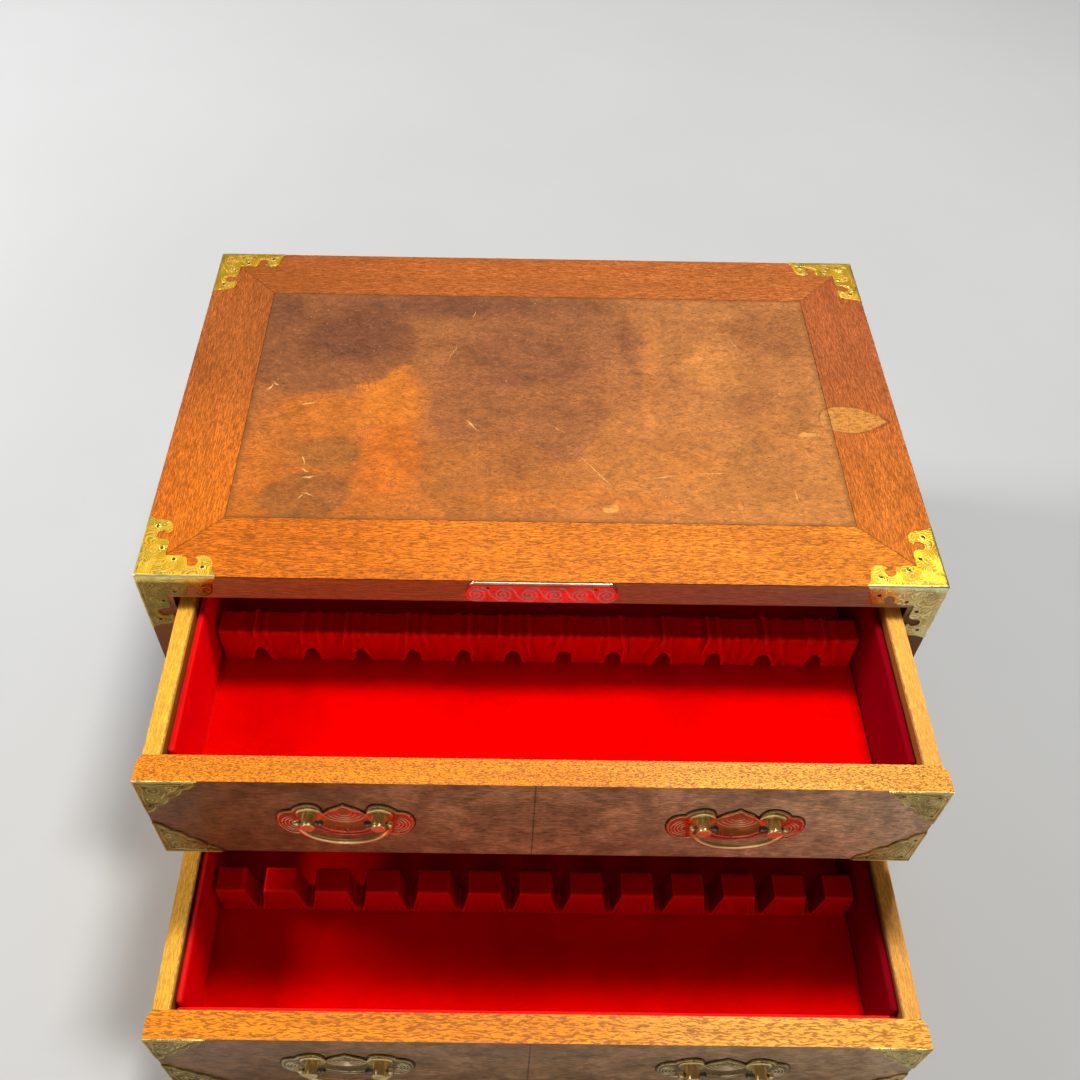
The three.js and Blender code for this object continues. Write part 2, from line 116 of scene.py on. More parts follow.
class Graph:
    """A material's node tree, with short calls for the nodes used here."""

    def __init__(self, name):
        self.material = bpy.data.materials.new(name)
        self.material.use_nodes = True
        self.tree = self.material.node_tree
        self.place = self.node("TexCoord").outputs["Object"]

    def feed(self, socket, value):
        if isinstance(value, bpy.types.NodeSocket):
            self.tree.links.new(value, socket)
        elif socket.type == "RGBA":
            socket.default_value = (*value, 1)
        else:
            socket.default_value = value

    def fill(self, node, named):
        """Feeds inputs by name, where an underscore stands for a space."""
        for name, value in named.items():
            self.feed(node.inputs[name.replace("_", " ")], value)

    def node(self, kind, *values, setting=None, **named):
        """A new node: values go to its first inputs in turn, and named ones to the inputs of that name."""
        node = self.tree.nodes.new("ShaderNode" + kind)
        for name, value in (setting or {}).items():
            setattr(node, name, value)
        for socket, value in zip(node.inputs, values):
            self.feed(socket, value)
        self.fill(node, named)
        return node

    def finished(self, tone, roughness, normal=None, **named):
        """Feeds the Principled surface and gives the material."""
        if normal is not None:
            named["Normal"] = normal
        self.fill(self.tree.nodes["Principled BSDF"], {"Base_Color": tone, "Roughness": roughness, **named})
        return self.material

    def math(self, operation, first, second=0.0):
        return self.node("Math", first, second, setting={"operation": operation}).outputs[0]

    def times(self, first, second):
        return self.math("MULTIPLY", first, second)

    def vector(self, operation, *values):
        return self.node("VectorMath", *values, setting={"operation": operation}).outputs

    def axis(self, axis, place=None):
        return self.node("SeparateXYZ", place or self.place).outputs[axis]

    def distance(self, axis, offset=0.0):
        """How far a point is from the chest's middle along an axis."""
        value = self.math("ADD", self.axis(axis), offset) if offset else self.axis(axis)
        return self.math("ABSOLUTE", value)

    def facing(self, axis):
        """How far the surface's own normal points along an axis, from -1 to 1."""
        return self.axis(axis, self.node("TexCoord").outputs["Normal"])

    def scaled(self, scale, place=None, turn=0.0, move=(0, 0, 0)):
        """Coordinates moved, turned about Z and then scaled."""
        moved = self.vector("SUBTRACT", place or self.place, move)[0]
        turned = self.node("VectorRotate", Vector=moved, Angle=turn, setting={"rotation_type": "Z_AXIS"})
        return self.node("Mapping", Vector=turned.outputs[0], Scale=scale).outputs[0]

    def wobbled(self, amount, scale, place=None):
        """Coordinates pushed about by a noise, so that what is drawn on them has an uneven edge."""
        place = place or self.place
        colour = self.node("TexNoise", Vector=place, Scale=scale, Detail=4.0).outputs["Color"]
        centred = self.vector("SUBTRACT", colour, (0.5, 0.5, 0.5))[0]
        return self.vector("MULTIPLY_ADD", centred, (amount, amount, amount), place)[0]

    def noise(self, place, scale, detail=3.0, roughness=0.55, distortion=0.0):
        """A noise from 0 to 1; scale is one number, or one for each axis."""
        if isinstance(scale, tuple):
            place, scale = self.scaled(scale, place), 1.0
        return self.node("TexNoise", Vector=place, Scale=scale, Detail=detail, Roughness=roughness,
                         Distortion=distortion).outputs["Fac"]

    def cells(self, place, scale):
        return self.node("TexVoronoi", Vector=place, Scale=scale).outputs["Distance"]

    def step(self, value, start, end, to_start=0.0, to_end=1.0):
        """A smooth step from to_start to to_end as value goes from start to end."""
        return self.node("MapRange", value, start, end, to_start, to_end,
                         setting={"interpolation_type": "SMOOTHSTEP"}).outputs[0]

    def oval(self, centre, reach, turn=0.0, place=None):
        """Coordinates about an oval on the top face, 1 long at its rim: mm and degrees."""
        return self.scaled((1000 / reach[0], 1000 / reach[1], 0), place, -math.radians(turn),
                           (centre[0] * MM, centre[1] * MM, 0))

    def spot(self, centre, reach, turn=0.0, end=0.6, place=None, start=1.0):
        """1 inside an oval and 0 outside it, with a soft edge between start and end."""
        return self.step(self.vector("LENGTH", self.oval(centre, reach, turn, place))["Value"], start, end)

    def mix(self, share, first, second, blend="MIX"):
        node = self.node("Mix", share, setting={"data_type": "RGBA", "blend_type": blend})
        self.feed(node.inputs[6], first)
        self.feed(node.inputs[7], second)
        return node.outputs[2]

    def tint(self, tone, colour, mask, strength):
        """The tone turned to a colour by a mask times a strength."""
        return self.mix(self.times(mask, strength), tone, colour)

    def multiplied(self, tone, factors):
        return self.mix(1.0, tone, factors, "MULTIPLY")

    def shade(self, tone, *layers):
        """The tone made darker and lighter in layers of (value, factor at 0.3, factor at 0.7)."""
        for value, darkest, lightest in layers:
            factor = self.step(value, 0.3, 0.7, darkest, lightest)
            tone = self.multiplied(tone, self.node("CombineXYZ", factor, factor, factor).outputs[0])
        return tone

    def ramp(self, value, *stops):
        node = self.node("ValToRGB", value)
        for element, (position, colour) in zip(node.color_ramp.elements, stops):
            element.position = position
            element.color = (*colour, 1)
        return node.outputs[0]

    def bump(self, height, strength, distance, **under):
        return self.node("Bump", Height=height, Strength=strength, Distance=distance, **under).outputs[0]


def floor_material():
    """Plain pale grey, a little lighter further out, where the lamp is weaker."""
    graph = Graph("studio_floor")
    far = graph.step(graph.vector("LENGTH", graph.place)["Value"], 0.3, 1.9)
    tone = graph.mix(far, (0.50, 0.507, 0.507), (0.93, 0.943, 0.943))
    tone = graph.shade(tone, (graph.noise(graph.place, 3.0), 0.985, 1.015))
    return graph.finished(tone, 0.8, Specular_IOR_Level=0.2)


# -------- wood

def along(axis, length_scale, cross_scale):
    """A scale for grain that runs along one axis."""
    scale = [cross_scale] * 3
    scale[axis] = length_scale
    return tuple(scale)


def grain(graph, axis, place):
    """Fibres, bands and open pores of straight-grained wood: three values from 0 to 1."""
    fibre = graph.noise(place, along(axis, 110, 1750), 3, 0.78)
    band = graph.noise(place, along(axis, 8, 100), 4, 0.55, 0.4)
    wavy = graph.wobbled(0.0028, 150, place)
    pores = graph.noise(wavy, along(axis, 200, 1600), 2, 0.6)
    return fibre, band, graph.step(pores, 0.47, 0.57)


def leaf_stain(graph, colour, tint, edge):
    """The leaf-shaped bare patch that crosses from the panel to the right border."""
    place = graph.wobbled(0.006, 60)
    local = graph.oval((210.5, -16.5), (23, 13), -3, place)
    # The right end comes to a point and the left end is blunt.
    end = graph.step(graph.axis(0, local), -0.5, 0.3, 2.6, 1.25)
    powers = [graph.math("POWER", graph.math("ABSOLUTE", graph.axis(at, local)), end) for at in range(2)]
    reach = graph.math("ADD", *powers)
    veins = graph.noise(place, (260, 620, 300), 4, 0.7)
    worn = graph.mix(graph.step(veins, 0.44, 0.60, 0, 0.55), tint, edge)
    colour = graph.mix(graph.step(reach, 1.0, 0.9, 0, 0.74), colour, worn)
    rim = graph.times(graph.step(reach, 1.16, 1.02), graph.step(reach, 0.84, 0.97))
    patchy = graph.step(graph.noise(graph.place, 90.0, 2), 0.4, 0.6, 0.15, 0.6)
    return graph.tint(colour, edge, rim, patchy)


def painted_light_drift(graph, front_left, front_right, back_left, back_right):
    """Painted light: a tone that drifts over the top from the front to the back and from left to right,
    lighter at the front and towards the right.
    """
    sideways = graph.step(graph.axis(0), -0.18, 0.2)
    depth = graph.step(graph.axis(1), -0.16, 0.07)
    front, back = graph.mix(sideways, front_left, front_right), graph.mix(sideways, back_left, back_right)
    return graph.mix(depth, front, back)


def border_wood(axis):
    graph = Graph("border_wood_" + "xyz"[axis])
    fibre, band, pores = grain(graph, axis, graph.wobbled(0.003, 18))
    tone = painted_light_drift(graph, (0.60, 0.140, 0.003), (0.70, 0.205, 0.012),
                 (0.32, 0.084, 0.016), (0.39, 0.112, 0.024))
    cloud = graph.noise(graph.place, 9.0, 2)
    tone = graph.shade(tone, (band, 0.90, 1.10), (fibre, 0.52, 1.60), (cloud, 0.93, 1.09))
    if axis == 1:
        # The right border board is redder and darker than the others.
        right = graph.step(graph.axis(0), 0.0, 0.1)
        tone = graph.mix(right, tone, graph.multiplied(tone, (0.78, 0.70, 0.95)))
    tone = graph.tint(tone, (0.20, 0.042, 0.002), pores, 0.54 if axis == 1 else 0.72)
    # The upright front edges are darker than the top and grow paler and greyer to the right, a painted
    # reflection; below the top frame they are painted in shade, and the sides are dark.
    front = graph.step(graph.facing(1), -0.6, -0.95)
    edge = graph.mix(graph.step(graph.axis(0), -0.1, 0.22), (0.49, 0.20, 0.065), (0.38, 0.29, 0.185))
    edge = graph.mix(graph.step(graph.axis(2), 0.214, 0.205, 0, 0.8), edge, (0.10, 0.042, 0.018))
    tone = graph.tint(tone, graph.shade(edge, (fibre, 0.66, 1.34)), front, 0.85)
    sides = graph.step(graph.math("ABSOLUTE", graph.facing(0)), 0.6, 0.95)
    dark = graph.shade((0.056, 0.019, 0.008), (band, 0.66, 1.34), (fibre, 0.60, 1.50))
    tone = leaf_stain(graph, graph.tint(tone, dark, sides, 0.85), (0.62, 0.27, 0.05), (0.13, 0.045, 0.010))
    relief = graph.bump(graph.math("SUBTRACT", fibre, pores), 0.3, 0.0004)
    return graph.finished(tone, graph.step(fibre, 0.2, 0.8, 0.36, 0.50), relief, Specular_IOR_Level=0.12)


# Shades of the burl panel: centre and reach in mm, turn in degrees, crispness, colour and strength.
PANEL_SHADES = (
    ((-140, -20), (60, 34), 0, 0.45, (0.47, 0.126, 0.010), 0.70),
    ((-98, 2), (28, 44), 24, 0.45, (0.54, 0.148, 0.008), 0.72),
    ((-96, -62), (28, 54), -4, 0.45, (0.50, 0.116, 0.005), 0.80),
    ((-182, -70), (20, 40), 0, 0.40, (0.46, 0.120, 0.010), 0.60),
    ((-60, 101), (160, 22), 0, 0.35, (0.130, 0.045, 0.022), 0.74),
    ((-14, -2), (60, 78), 4, 0.88, (0.225, 0.072, 0.022), 0.66),
    ((10, 60), (76, 50), 10, 0.60, (0.200, 0.066, 0.024), 0.66),
    ((-150, 56), (68, 52), 0, 0.90, (0.200, 0.066, 0.021), 0.84),
    ((-130, 64), (52, 40), 12, 0.50, (0.115, 0.037, 0.018), 0.62),
    ((-186, 92), (26, 30), 0, 0.35, (0.120, 0.042, 0.020), 0.60),
    ((-12, 20), (50, 10), 8, 0.35, (0.165, 0.050, 0.020), 0.60),
    ((-136, -56), (23, 17), 0, 0.84, (0.27, 0.090, 0.014), 0.70),
    ((-148, -95), (32, 23), 0, 0.80, (0.22, 0.074, 0.014), 0.68),
    ((-28, -78), (52, 42), 0, 0.90, (0.33, 0.100, 0.014), 0.60),
    ((76, 20), (10, 96), -3, 0.10, (0.56, 0.186, 0.034), 0.60),
    ((64, 60), (7, 50), 4, 0.20, (0.14, 0.044, 0.018), 0.45),
    ((118, 36), (34, 30), 20, 0.40, (0.50, 0.180, 0.036), 0.60),
    ((20, -98), (110, 12), 0, 0.35, (0.53, 0.140, 0.010), 0.50),
    ((56, 10), (60, 34), 15, 0.30, (0.28, 0.088, 0.024), 0.50),
    ((166, 76), (40, 30), 0, 0.45, (0.23, 0.076, 0.020), 0.66),
    ((150, 0), (34, 22), 30, 0.40, (0.27, 0.090, 0.024), 0.50),
    ((96, -62), (36, 20), -12, 0.40, (0.46, 0.140, 0.018), 0.45),
    ((150, -60), (44, 26), -10, 0.30, (0.34, 0.125, 0.026), 0.50),
)
# Light scratches and rubbed curls: centre and reach in mm, and turn in degrees.
SCRATCHES = (
    ((36.5, -70), (24, 0.4), -54), ((80, -73), (17, 0.35), 10), ((110, -69.5), (16, 0.35), 2),
    ((161, -88), (8, 0.4), 95), ((-44.5, -28), (8, 0.55), -52), ((-46, -25), (6, 0.4), -48),
    ((-183, 8), (5, 1.0), 60), ((-179, 11), (3.4, 0.8), -40), ((-155, -8), (7, 0.55), 18),
    ((-152, -63), (5, 0.7), -70), ((-150, -72), (4, 0.6), -30), ((-147, -78), (6, 0.9), 12),
    ((-146, -93), (5, 0.8), -25), ((-150, -95), (3, 0.7), 50), ((-60, 48), (14, 0.25), 68),
    ((12, -30), (9, 0.3), -35), ((140, 60), (10, 0.25), -60), ((-46, 92), (6, 0.3), 80),
)
# A shade that is crisper than this has a thin dark rim.
CRISP_EDGE = 0.75
PANEL_DARK = (0.10, 0.028, 0.010)
# Rubbed patches of the panel: centre and reach in mm.
PANEL_PATCHES = (((178, -32), (8, 2.6)), ((43, -102), (6, 4.5)))
# The book-matched seam of the drawer fronts lies this far left of the middle, in metres.
SEAM_SHIFT = 0.004


def burl_panel():
    graph = Graph("burl_panel")
    tone = painted_light_drift(graph, (0.44, 0.112, 0.005), (0.45, 0.155, 0.024),
                 (0.25, 0.084, 0.024), (0.36, 0.130, 0.034))
    uneven = graph.wobbled(0.004, 80, graph.wobbled(0.028, 15))
    for centre, reach, turn, edge, colour, strength in PANEL_SHADES:
        mask = graph.spot(centre, reach, turn, edge, uneven)
        tone = graph.tint(tone, colour, mask, strength)
        if edge > CRISP_EDGE:
            # A crisp lobe has a thin dark rim.
            inner = graph.spot(centre, reach, turn, 0.91, uneven, 0.98)
            rim = graph.times(mask, graph.math("SUBTRACT", 1.0, inner))
            tone = graph.tint(tone, PANEL_DARK, rim, 0.34)
    cloud = graph.noise(graph.wobbled(0.02, 14), 30.0, 6, 0.62, 0.5)
    mottle = graph.noise(graph.wobbled(0.012, 50), (130, 230, 170), 6, 0.74, 0.4)
    fibre = graph.noise(graph.wobbled(0.007, 80), (330, 1700, 400), 4, 0.78)
    tone = graph.shade(tone, (cloud, 0.84, 1.17), (mottle, 0.76, 1.25), (fibre, 0.60, 1.40))
    pits = graph.noise(graph.wobbled(0.004, 80), (260, 700, 300), 3, 0.6)
    tone = graph.tint(tone, PANEL_DARK, graph.step(pits, 0.60, 0.68), 0.55)
    # Fine curved growth lines, where the figure of the burl curls.
    curls = graph.math("SINE", graph.times(graph.noise(graph.place, 26.0, 1, 0.4), 260.0))
    curls = graph.step(curls, 0.55, 1.0)
    tone = graph.tint(tone, (0.16, 0.040, 0.008), curls, graph.step(cloud, 0.48, 0.62, 0, 0.42))
    eyes = graph.step(graph.cells(graph.wobbled(0.01, 40), 75.0), 0.12, 0.02)
    tone = graph.tint(tone, (0.09, 0.026, 0.010), eyes, graph.step(cloud, 0.6, 0.4, 0, 0.5))
    # Dust-fine light specks and the paler rubbed marks.
    specks = graph.step(graph.noise(graph.place, (520, 900, 700), 1), 0.735, 0.79)
    tone = graph.tint(tone, (0.80, 0.42, 0.14), specks, 0.50)
    rough_edge = graph.wobbled(0.003, 300)
    for centre, reach, turn in SCRATCHES:
        tone = graph.tint(tone, (0.82, 0.46, 0.16), graph.spot(centre, reach, turn, 0.2, rough_edge), 0.75)
    worn = graph.shade((0.62, 0.28, 0.05), (mottle, 0.55, 1.25))
    for centre, reach in PANEL_PATCHES:
        tone = graph.tint(tone, worn, graph.spot(centre, reach, 0, 0.7, graph.wobbled(0.008, 120)), 0.85)
    tone = leaf_stain(graph, tone, (0.55, 0.23, 0.06), (0.13, 0.045, 0.012))
    # Grime gathers along the joint with the border.
    grime = graph.math("MAXIMUM", graph.step(graph.distance(0), 0.190, 0.1942),
                       graph.step(graph.distance(1), 0.1095, 0.1138))
    tone = graph.tint(tone, (0.13, 0.055, 0.012), grime, 0.5)
    relief = graph.bump(graph.math("ADD", fibre, mottle), 0.35, 0.0005)
    return graph.finished(tone, graph.step(cloud, 0.3, 0.7, 0.36, 0.50), relief, Specular_IOR_Level=0.16)


def drawer_front_wood():
    """Dark book-matched burl on the face, and lighter speckled solid wood on the other sides."""
    graph = Graph("drawer_front")
    across, height = graph.axis(0), graph.axis(2)
    from_seam = graph.distance(0, SEAM_SHIFT)
    mirrored = graph.node("CombineXYZ", from_seam, graph.axis(1), height).outputs[0]
    place = graph.wobbled(0.04, 9, mirrored)
    cloud = graph.noise(place, 20.0, 6, 0.62, 0.9)
    mottle = graph.noise(graph.wobbled(0.008, 50, mirrored), 120.0, 4, 0.6)
    streak = graph.noise(place, (150, 300, 1100), 4, 0.80)
    # Painted reflection: the face grows paler and greyer to the right.
    burl = graph.mix(graph.step(across, -0.21, 0.0), (0.215, 0.070, 0.022), (0.43, 0.200, 0.092))
    burl = graph.mix(graph.step(across, 0.0, 0.2), burl, (0.58, 0.345, 0.195))
    # The lower drawer's face is mixed partly towards one even brown.
    burl = graph.mix(graph.step(height, 0.14, 0.10, 0, 0.55), burl, (0.34, 0.200, 0.095))
    burl = graph.shade(burl, (cloud, 0.76, 1.24), (mottle, 0.76, 1.24), (streak, 0.48, 1.56))
    burl = graph.tint(burl, (0.04, 0.014, 0.008), graph.step(graph.cells(place, 60.0), 0.15, 0.03), 0.45)
    flecks = graph.step(graph.noise(graph.place, (420, 420, 700), 1), 0.75, 0.80)
    burl = graph.tint(burl, (0.50, 0.28, 0.12), flecks, 0.4)
    burl = graph.tint(burl, (0.035, 0.014, 0.009), graph.step(from_seam, 0.0006, 0.0002), 0.6)

    fibre, band, pores = grain(graph, 0, graph.wobbled(0.004, 30))
    # Painted highlight: the top edges grow paler and yellower to the right.
    solid = graph.mix(graph.step(across, 0.0, 0.12), (0.84, 0.250, 0.002), (0.88, 0.39, 0.045))
    solid = graph.shade(solid, (band, 0.88, 1.12), (fibre, 0.72, 1.28))
    # Short wavy pores on the upper drawer, and longer ones on the lower.
    short = graph.noise(graph.wobbled(0.0022, 420), (620, 2300, 700), 2, 0.5)
    long = graph.noise(graph.wobbled(0.0036, 150), (230, 1250, 400), 2, 0.5)
    upper, lower = graph.step(height, 0.12, 0.14), graph.step(height, 0.14, 0.12)
    solid = graph.tint(solid, (0.25, 0.052, 0.002), upper, graph.step(short, 0.49, 0.56, 0, 0.84))
    solid = graph.tint(solid, (0.24, 0.052, 0.003), lower, graph.step(long, 0.47, 0.58, 0, 0.70))
    face = graph.step(graph.facing(1), -0.8, -0.97)
    relief = graph.bump(graph.math("SUBTRACT", fibre, pores), 0.22, 0.0003)
    tone, roughness = graph.mix(face, solid, burl), graph.step(face, 0, 1, 0.5, 0.38)
    return graph.finished(tone, roughness, relief, Specular_IOR_Level=0.18)


def drawer_side_wood(axis):
    graph = Graph("drawer_wood_" + "xyz"[axis])
    fibre, band, pores = grain(graph, axis, graph.wobbled(0.004, 20))
    tone = graph.mix(graph.step(graph.axis(0), -0.1, 0.1), (0.80, 0.40, 0.030), (0.80, 0.35, 0.045))
    tone = graph.shade(tone, (band, 0.90, 1.10), (fibre, 0.72, 1.30))
    tone = graph.tint(tone, (0.44, 0.17, 0.010), pores, 0.42)
    # The inner top edge, next to the lining, is rubbed brown and rough.
    speckle = graph.noise(graph.place, (500, 300, 500), 3)
    frayed = graph.math("ADD", graph.distance(0), graph.times(speckle, 0.0022))
    tone = graph.tint(tone, (0.20, 0.065, 0.014), graph.step(frayed, 0.2098, 0.2088), 0.80)
    roughness = graph.step(fibre, 0.2, 0.8, 0.40, 0.56)
    return graph.finished(tone, roughness, graph.bump(fibre, 0.25, 0.0003), Specular_IOR_Level=0.2)


def plain_wood():
    graph = Graph("plain_wood")
    fibre, band, pores = grain(graph, 0, graph.wobbled(0.006, 14))
    tone = graph.shade((0.25, 0.115, 0.045), (band, 0.75, 1.25), (fibre, 0.8, 1.2))
    tone = graph.tint(tone, (0.07, 0.03, 0.014), pores, 0.6)
    relief = graph.bump(graph.math("SUBTRACT", fibre, pores), 0.4, 0.0004)
    return graph.finished(tone, graph.step(fibre, 0.2, 0.8, 0.55, 0.75), relief)


# -------- velvet, felt and brass

def velvet_material():
    graph = Graph("scarlet_velvet")
    brushed = graph.noise(graph.wobbled(0.03, 12), 18.0, 4, 0.6, 0.6)
    pile = graph.noise(graph.place, 2600.0, 2, 0.7)
    tone = graph.shade((0.74, 0.0, 0.0), (brushed, 0.90, 1.08), (pile, 0.84, 1.12))
    # Painted sheen lightens a fold's ridge and painted shade darkens its crease.
    bend = graph.node("NewGeometry").outputs["Pointiness"]
    tone = graph.mix(graph.step(bend, 0.505, 0.56, 0, 0.55), tone, (1.0, 0.035, 0.03))
    tone = graph.mix(graph.step(bend, 0.495, 0.44, 0, 0.65), tone, (0.16, 0.0, 0.0))
    # Painted light and shade: the lining that faces right is painted brighter, and the one that faces left,
    # with the whole right lining, is painted darker.
    tone = graph.tint(tone, (1.0, 0.0, 0.0), graph.step(graph.facing(0), 0.4, 0.9), 0.75)
    left_facing_painted_shade, right_lining_painted_shade = graph.step(graph.facing(0), -0.4, -0.9), graph.step(graph.axis(0), 0.2015, 0.2025)
    tone = graph.tint(tone, (0.14, 0.0, 0.006), graph.math("MAXIMUM", left_facing_painted_shade, right_lining_painted_shade), 0.88)
    return graph.finished(tone, 1.0, graph.bump(pile, 0.5, 0.0004), Specular_IOR_Level=0.0,
                          Sheen_Weight=0.25, Sheen_Roughness=0.4, Sheen_Tint=(1.0, 0.0, 0.02))


def felt_material():
    graph = Graph("base_felt")
    fuzz = graph.noise(graph.place, 1500.0, 3, 0.7)
    tone = graph.ramp(fuzz, (0.3, (0.022, 0.013, 0.010)), (0.7, (0.075, 0.045, 0.033)))
    return graph.finished(tone, 0.95, graph.bump(fuzz, 0.7, 0.0006), Sheen_Weight=0.3, Sheen_Roughness=0.5)


# The painted highlight band under the top corners' fold: the heights where it ends and where it is full.
FOLD_HIGHLIGHT_BAND = (0.2262, 0.2296)

# Each brass: its bright and its dull tone, its roughness and how it departs from plain sheet; left is
# painted shade and front holds painted reflection tones.
BRASSES = {
    "corner_brass": ((1.0, 0.585, 0.038), (0.90, 0.45, 0.024), 0.32,
                     {"left": 0.30, "chased": True, "front": ((1.0, 0.87, 0.44), (0.96, 0.72, 0.30))}),
    "corner_line": ((1.0, 0.72, 0.17), (0.92, 0.58, 0.10), 0.34,
                    {"left": 0.45, "front": ((1.0, 0.90, 0.58), (0.94, 0.74, 0.34))}),
    "fold_brass": ((1.0, 0.80, 0.32), (0.94, 0.66, 0.20), 0.30,
                   {"metallic": 0.96, "left": 0.60, "front": ((1.0, 0.93, 0.66), (0.98, 0.82, 0.44))}),
    "aged_brass": ((0.66, 0.50, 0.18), (0.28, 0.19, 0.055), 0.36,
                   {"metallic": 0.96, "left": 0.50, "chased": True}),
    "aged_line": ((0.86, 0.67, 0.28), (0.58, 0.42, 0.14), 0.32, {"metallic": 0.9, "left": 0.70}),
    "plaque_brass": ((0.86, 0.62, 0.40), (0.62, 0.42, 0.26), 0.24, {"metallic": 0.86}),
    "plaque_line": ((1.0, 0.72, 0.64), (0.96, 0.62, 0.54), 0.30, {"metallic": 0.50}),
    "plate_brass": ((0.62, 0.45, 0.19), (0.36, 0.24, 0.09), 0.24, {"metallic": 0.97}),
    "plate_line": ((1.0, 0.84, 0.56), (0.92, 0.72, 0.42), 0.28, {"metallic": 0.80}),
    "rolled_brass": ((0.46, 0.36, 0.26), (0.34, 0.25, 0.17), 0.40, {"metallic": 0.95}),
    "rod_brass": ((0.94, 0.72, 0.32), (0.76, 0.54, 0.20), 0.26, {"metallic": 0.95}),
    "pin_steel": ((0.22, 0.20, 0.17), (0.10, 0.09, 0.075), 0.30, {}),
    "tarnish_and_shadow_brass": ((0.16, 0.09, 0.035), (0.06, 0.03, 0.012), 0.35, {}),
}


def brass_material(name, bright, dull, roughness, metallic=1.0, left=1.0, chased=False, front=None):
    """Sheet brass with tarnish and small dents.

    left is painted shade: it darkens and yellows what looks forward towards the chest's left. chased covers
    the sheet in fine curved graver's lines, and front is the two painted reflection tones of what looks
    forward: a painted highlight at the fold, and below it.
    """
    graph = Graph(name)
    tarnish = graph.noise(graph.wobbled(0.01, 60), 90.0, 5, 0.65)
    tone = graph.ramp(tarnish, (0.34, dull), (0.60, bright))
    forward = graph.step(graph.facing(1), -0.6, -0.9)
    below = graph.step(graph.axis(2), FOLD_HIGHLIGHT_BAND[1], FOLD_HIGHLIGHT_BAND[0])
    # Painted reflection: what looks forward takes the front tones, with a painted highlight in the band
    # under the fold.
    if front is not None:
        tone = graph.mix(forward, tone, graph.shade(graph.mix(below, *front), (tarnish, 0.72, 1.12)))
    # Painted shade: what looks forward towards the chest's left is darker and yellower, most of all below
    # the fold band.
    if left < 1.0:
        side = graph.times(graph.step(graph.axis(0), -0.2, 0.1, 1.0, 0.0), forward)
        tone = graph.mix(side, tone, graph.multiplied(tone, (1.0, 0.90, 0.48)))
        tone = graph.tint(tone, (0.02, 0.012, 0.0), graph.times(side, below), 1.0 - left)
    height = graph.noise(graph.place, (900, 250, 900), 2)
    if chased:
        swirl = graph.noise(graph.wobbled(0.004, 70), 62.0, 0, 0.4)
        lines = graph.math("SINE", graph.times(swirl, 210.0))
        tone = graph.shade(tone, (graph.step(lines, -1.0, 1.0, 0.3, 0.7), 0.66, 1.20))
        height = graph.math("ADD", height, lines)
    dents = graph.bump(graph.noise(graph.place, 160.0, 2, 0.5), 0.20, 0.0008)
    relief = graph.bump(height, 0.22 if chased else 0.10, 0.0002, Normal=dents)
    roughness = graph.step(tarnish, 0.3, 0.7, roughness + 0.14, roughness)
    return graph.finished(tone, roughness, relief, Metallic=metallic)


def make_materials():
    """Every material, by the name that the pieces use."""
    made = {
        "border_x": border_wood(0), "border_y": border_wood(1), "panel": burl_panel(),
        "front": drawer_front_wood(), "drawer_x": drawer_side_wood(0), "drawer_y": drawer_side_wood(1),
        "plain": plain_wood(), "velvet": velvet_material(), "felt": felt_material(),
    }
    for name, (bright, dull, roughness, settings) in BRASSES.items():
        made[name] = brass_material(name, bright, dull, roughness, **settings)
    return made


# -------- mesh helpers

SHARP_ANGLE = 38


def skin(rings):
    """A closed form through rings of the same number of points, with a flat face at each end."""
    count = len(rings[0])
    last = (len(rings) - 1) * count
    faces = [tuple(reversed(range(count))), tuple(range(last, last + count))]
    for start in range(0, last, count):
        for at in range(count):
            a, b = start + at, start + (at + 1) % count
            faces.append((a, b, b + count, a + count))
    return np.concatenate(rings), faces


def lifted(line, height):
    """2D points put at a height."""
    return np.column_stack((line, np.full(len(line), height)))


def arc(centre, reach, start, stop, steps):
    """2D points on an arc from one angle to another: reach is a radius, or one for each axis."""
    angles = np.linspace(start, stop, steps)
    return np.array(centre) + np.multiply(reach, np.column_stack((np.cos(angles), np.sin(angles))))


def tube(points, radius, sides=6):
    """A round rod along points, with closed ends. radius is one number or one for each point."""
    points = np.array(points, float)
    radii = np.full(len(points), radius, float) if np.isscalar(radius) else np.array(radius, float)
    tangents = np.gradient(points, axis=0)
    tangents /= np.linalg.norm(tangents, axis=1)[:, None]
    first = np.cross(tangents[0], (0.0, 0.0, 1.0))
    if np.linalg.norm(first) < 0.1:
        first = np.cross(tangents[0], (0.0, 1.0, 0.0))
    turns = np.arange(sides)[:, None] * 2 * math.pi / sides
    rings, normal = [], first / np.linalg.norm(first)
    for point, tangent, reach in zip(points, tangents, radii):
        normal = normal - tangent * normal.dot(tangent)
        normal /= np.linalg.norm(normal)
        sideways = np.cos(turns) * normal + np.sin(turns) * np.cross(tangent, normal)
        rings.append(point + reach * sideways)
    return skin(rings)


def lathe(profile, sides=24):
    """A turned form about +Z from (radius, height) pairs, from the bottom up and closed at both ends."""
    circle = arc((0, 0), 1.0, 0, 2 * math.pi * (1 - 1 / sides), sides)
    return skin([lifted(circle * radius, height) for radius, height in profile])


def inset(outline, width):
    """The outline moved inwards by width. Points run counter-clockwise."""
    before, after = np.roll(outline, 1, 0), np.roll(outline, -1, 0)
    along_in = (outline - before) / np.linalg.norm(outline - before, axis=1)[:, None]
    along_out = (after - outline) / np.linalg.norm(after - outline, axis=1)[:, None]
    normals = np.column_stack((-(along_in + along_out)[:, 1], (along_in + along_out)[:, 0]))
    normals /= np.maximum(np.linalg.norm(normals, axis=1)[:, None], 1e-9)
    lean = np.maximum((along_in * along_out).sum(1) * 0.5 + 0.5, 0.25) ** 0.5
    return outline + normals * (width / lean)[:, None]


